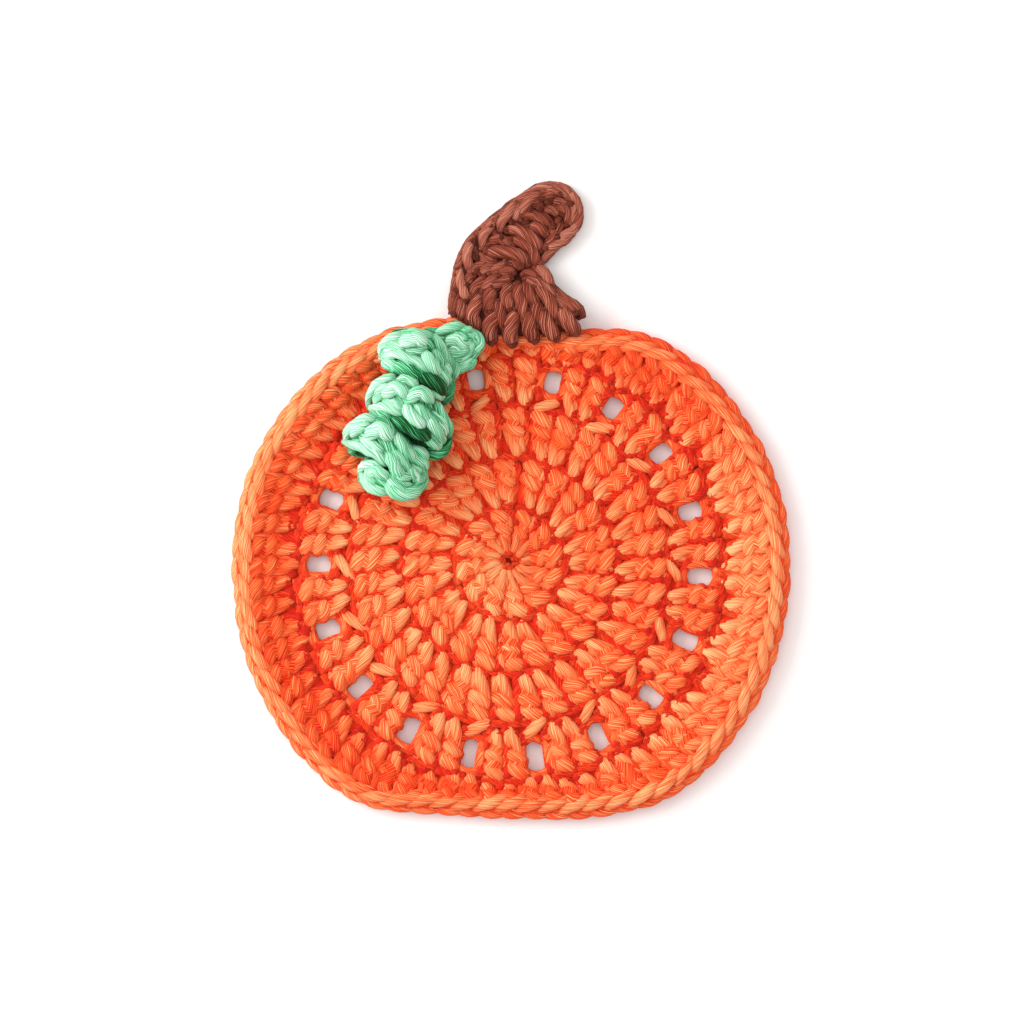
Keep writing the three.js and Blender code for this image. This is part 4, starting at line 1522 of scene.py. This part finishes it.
# An arch's last number is painted shade on its strands: most for the insides, and also for the lips
# and backs under the bands and the leaf's lower layer
CURL = (
    (Arch(-21.5, 9.3, 17.5, 8.0), FIRST_BAND),
    (Arch(-21.5, 9.3, 16.6, 7.5, 1.5), FIRST_LIP),
    (Arch(-20.5, 8.6, 13.0, 6.5, 1.6), FIRST_BACK),
    (Arch(-23.0, 12.0, 10.5, 6.5, 4.0), INSIDES),
    (Arch(-22.3, 9.9, 17.5, 8.0), SECOND_BAND),
    (Arch(-22.3, 9.9, 16.6, 7.5, 1.9), SECOND_LIP),
    (Arch(-20.5, 8.6, 12.5, 6.0, 2.2), SECOND_BACK),
    (Arch(-28.0, 9.9, 17.3, 8.0), THIRD_BAND),
    (Arch(-26.4, 8.6, 17.3, 8.0), FOURTH_BAND),
    (Arch(-13.0, 12.0, 9.8, 7.5), LEAF),
    (Arch(-13.0, 12.0, 7.7, 6.0, 0.5), LEAF),
)


@dataclass
class Tendril:
    """The green curl: a crocheted strip that winds itself into a corkscrew, and its flat start.

    The strands of the curl's bands are laid along listed routes. The coils' own stitches are left
    out where they would look further up than shown from above, a cosine. Side shade is how much
    painted shade the bands get at their right, with painted light at their left, and low shade
    how much painted shade the coils get where they look sideways, twice that where they look
    down. The first coil stands open to the light: there the painted shade is cut to the part in
    open depth, and comes back over the turns in open turns.
    """

    shape: MatShape
    yarn: Yarn
    finish: CottonFinish
    side_radius: float = 5.8
    top_radius: float = 3.4
    half_thickness: float = 3.0
    crown_width: float = 1.15
    edge_lean: float = 0.35
    end_overhang: float = 0.02
    lift: float = 4.9
    reach: float = 6.9
    stitches_per_turn: int = 7
    core_inset: float = 2.0
    core_painted_shade: float = 0.4
    jitter: float = 0.12
    thickening: float = 0.08
    shown_from_above: float = 0.3
    side_shade: float = 1.1
    low_shade: float = 0.9
    open_turns: float = 0.4
    open_depth: float = 0.2
    coil_rings: int = 10
    curl_rings: int = 13
    coil_seed: int = 50
    curl_seed: int = 80

    def _coil(self, turn: np.ndarray, column: str) -> np.ndarray:
        """A column of the coils' table at some turns, between its rows."""
        rows = [getattr(coil, column) for coil in COILS]
        return np.interp(turn, [coil.turn for coil in COILS], rows)

    def _strands(self, bends: Sequence[Bend], seed: int) -> tuple[np.ndarray, np.ndarray]:
        """Puts one kind of strand on the stitches of the strip's sides and underneath.

        Args:
            bends: The strand's points in the stitch's own sizes.
            seed: Start of the random shifts.

        Returns:
            Strands, points, and x, y, z, bulk and the depth of their painted shade; and the way each
            point faces.
        """
        rng = np.random.default_rng(seed)
        first, last = COILS[0].turn, COILS[-1].turn
        count = round((last - first) * self.stitches_per_turn)
        middle = first + (np.arange(count) + 0.5) / self.stitches_per_turn
        middle = middle[np.cos(2 * math.pi * middle) < self.shown_from_above]
        lowest, highest = first - self.end_overhang, last + self.end_overhang
        rows, ways = [], []
        for bend in bends:
            turn = np.clip(middle + bend.across / self.stitches_per_turn, lowest, highest)
            facing = turn * 2 * math.pi
            sideways, upwards = np.sin(facing), np.cos(facing)
            strip = 1 / np.hypot(sideways / self.side_radius, upwards / self.top_radius)
            flank = (bend.along / self.crown_width) ** 2
            crown = self.half_thickness * math.sqrt(max(0.0, 1 - flank))
            radius = strip + crown - self.yarn.thickness / 2 - bend.drop
            x = self.shape.middle[0] + self._coil(turn, "right") + radius * sideways
            up = self._coil(turn, "up") + self._coil(turn, "half_width") * bend.along
            z = self.lift + self.reach + radius * upwards
            bulk = np.full_like(x, bend.bulk)
            # Painted shade on the coils, more where they look sideways or down, cut down on the first
            # coil that stands open to the light
            hidden = np.clip((turn - first) / self.open_turns, self.open_depth, 1.0)
            depth = (bend.drop + self.low_shade * (1 - upwards)) * hidden
            rows.append(np.stack([x, self.shape.middle[1] + up, z, bulk, depth], axis=-1))
            inwards = -1.0 if bend.drop > self.half_thickness else 1.0
            edgeways = np.full_like(x, self.edge_lean * bend.along)
            ways.append(np.stack([inwards * sideways, edgeways, inwards * upwards], axis=-1))
        points = np.stack(rows, axis=1)
        shift = rng.normal(0, self.jitter, (len(middle), 1, 3))
        wobble = rng.normal(0, self.jitter * WOBBLE_PART, points[..., :3].shape)
        points[..., :3] += shift + wobble
        points[..., 3] *= rng.normal(1, self.thickening, (len(middle), 1))
        return points, np.stack(ways, axis=1)

    def build(self) -> list[bpy.types.Object]:
        """Builds and dresses the tendril.

        Returns:
            Its pieces.
        """
        material = self.finish.build()
        painted_shade = self.core_painted_shade
        core = drawn_in_copy("tendril", "tendril_core", self.core_inset, material, painted_shade)
        yarn = YarnMesh(self.yarn)
        for seed, bends in enumerate(COIL_STITCH, self.coil_seed):
            points, facing = self._strands(bends, seed)
            yarn.add(points, self.coil_rings, seed + TONE_SEED_STEP, facing)
        for seed, (arch, strands) in enumerate(CURL, self.curl_seed):
            columns = np.moveaxis(laid(strands, self.jitter, seed), -1, 0)
            right, up, drop, bulk, depth = columns
            height = arch.height(right) - drop
            x, y = under_camera(self.shape.middle[0] + right, self.shape.middle[1] + up, height)
            # Painted shade at each band's right and painted light at its left, on top of the arch's
            # own painted shade
            side = self.side_shade * (right - arch.middle) / arch.half_span
            points = np.stack([x, y, height, bulk, depth + arch.shade + side], axis=-1)
            yarn.add(points, self.curl_rings, seed + TONE_SEED_STEP, arch.facing(right))
        pieces = [core, yarn.build("tendril_yarn", material)]
        put_on(pieces, "tendril")
        return pieces


@dataclass(frozen=True)
class Studio:
    """A plain pale floor, soft light from the upper left, and a camera straight above."""

    photo_pixels: int = 1024
    photo_mm_per_pixel: float = 0.2232
    photo_shift_down: float = 11.5
    sensor_width: float = 36.0
    floor_size: float = 3.0
    floor_hex: str = "#F7F5F4"
    floor_roughness: float = 0.9
    floor_gloss: float = 0.1
    sky_colour: tuple[float, float, float, float] = (1.0, 0.985, 0.97, 1.0)
    sky_strength: float = 0.85
    key_watts: float = 12.0
    top_watts: float = 3.0

    def build(self) -> None:
        """Adds the floor, the lights and the camera."""
        self._floor()
        self._light("key", (-0.92, 0.32, 0.62), 0.8, self.key_watts)
        self._light("top", (-0.1, 0.3, 1.2), 0.9, self.top_watts)
        self._world()
        self._camera()
        scene = bpy.context.scene
        scene.view_settings.view_transform = "Standard"
        scene.view_settings.look = "None"

    def _floor(self) -> None:
        """Adds the floor that the coaster lies on."""
        bpy.ops.object.select_all(action="DESELECT")
        bpy.ops.mesh.primitive_plane_add(size=self.floor_size, location=(0, 0, 0))
        floor = bpy.context.active_object
        floor.name = "floor"
        material = bpy.data.materials.new("matt_card")
        material.use_nodes = True
        shader = material.node_tree.nodes["Principled BSDF"]
        shader.inputs["Base Color"].default_value = linear_colour(self.floor_hex)
        shader.inputs["Roughness"].default_value = self.floor_roughness
        shader.inputs["Specular IOR Level"].default_value = self.floor_gloss
        floor.data.materials.append(material)

    def _light(self, name: str, place: tuple[float, float, float], size: float, power: float) -> None:
        """Adds a square soft light that faces the origin.

        Args:
            name: Name of the light.
            place: Where it stands, in metres.
            size: Side of the square, in metres.
            power: Watts.
        """
        data = bpy.data.lights.new(name, "AREA")
        data.shape = "SQUARE"
        data.size = size
        data.energy = power
        lamp = bpy.data.objects.new(name, data)
        lamp.location = place
        away = np.array(place) / np.linalg.norm(place)
        lamp.rotation_euler = (math.acos(away[2]), 0.0, math.atan2(away[1], away[0]) + math.pi / 2)
        bpy.context.scene.collection.objects.link(lamp)

    def _world(self) -> None:
        """Lights the studio evenly from all round."""
        world = bpy.data.worlds.new("studio")
        world.use_nodes = True
        sky = world.node_tree.nodes["Background"]
        sky.inputs["Color"].default_value = self.sky_colour
        sky.inputs["Strength"].default_value = self.sky_strength
        bpy.context.scene.world = world

    def _camera(self) -> None:
        """Adds the camera, framed as the photo is."""
        width = self.photo_pixels * self.photo_mm_per_pixel
        data = bpy.data.cameras.new("camera")
        data.sensor_width = self.sensor_width
        data.lens = self.sensor_width * CAMERA_DISTANCE / width
        camera = bpy.data.objects.new("camera", data)
        down = self.photo_shift_down * self.photo_mm_per_pixel
        camera.location = (0.0, -down * MM, (FOCUS_HEIGHT + CAMERA_DISTANCE) * MM)
        bpy.context.scene.collection.objects.link(camera)
        bpy.context.scene.camera = camera


# The deep and pit colours stand mostly for painted shade, and the light colour partly for painted
# highlight
ORANGE = CottonFinish(
    name="orange_plied_cotton",
    slot="orange_cotton",
    light="#FFBC80",
    main="#FC662A",
    deep="#F63305",
    pit="#CC1402",
)
BROWN = CottonFinish(
    name="brown_plied_cotton",
    slot="brown_cotton",
    light="#D69078",
    main="#944029",
    deep="#581808",
    pit="#2C0501",
    sheen=0.04,
)
GREEN = CottonFinish(
    name="green_plied_cotton",
    slot="green_cotton",
    light="#F0FFF6",
    main="#84DDAC",
    deep="#1B9650",
    pit="#01350F",
    sheen=0.06,
)


def main() -> None:
    """Builds the coaster's pieces in order."""
    logging.basicConfig(level=logging.INFO, format="%(message)s")
    mount = next(m for m in frame["record"]["mounts"] if m["name"] == "underside")
    middle = (mount["pos_m"][0] / MM, mount["pos_m"][1] / MM)
    yarn = Yarn()
    shape = MatShape(middle)
    for part in (Mat(shape, yarn, ORANGE), Stem(shape, yarn, BROWN), Tendril(shape, yarn, GREEN)):
        for piece in part.build():
            log.info("%s: %d faces", piece.name, len(piece.data.polygons))
    Studio().build()
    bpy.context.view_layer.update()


if __name__ == "__main__":
    main()
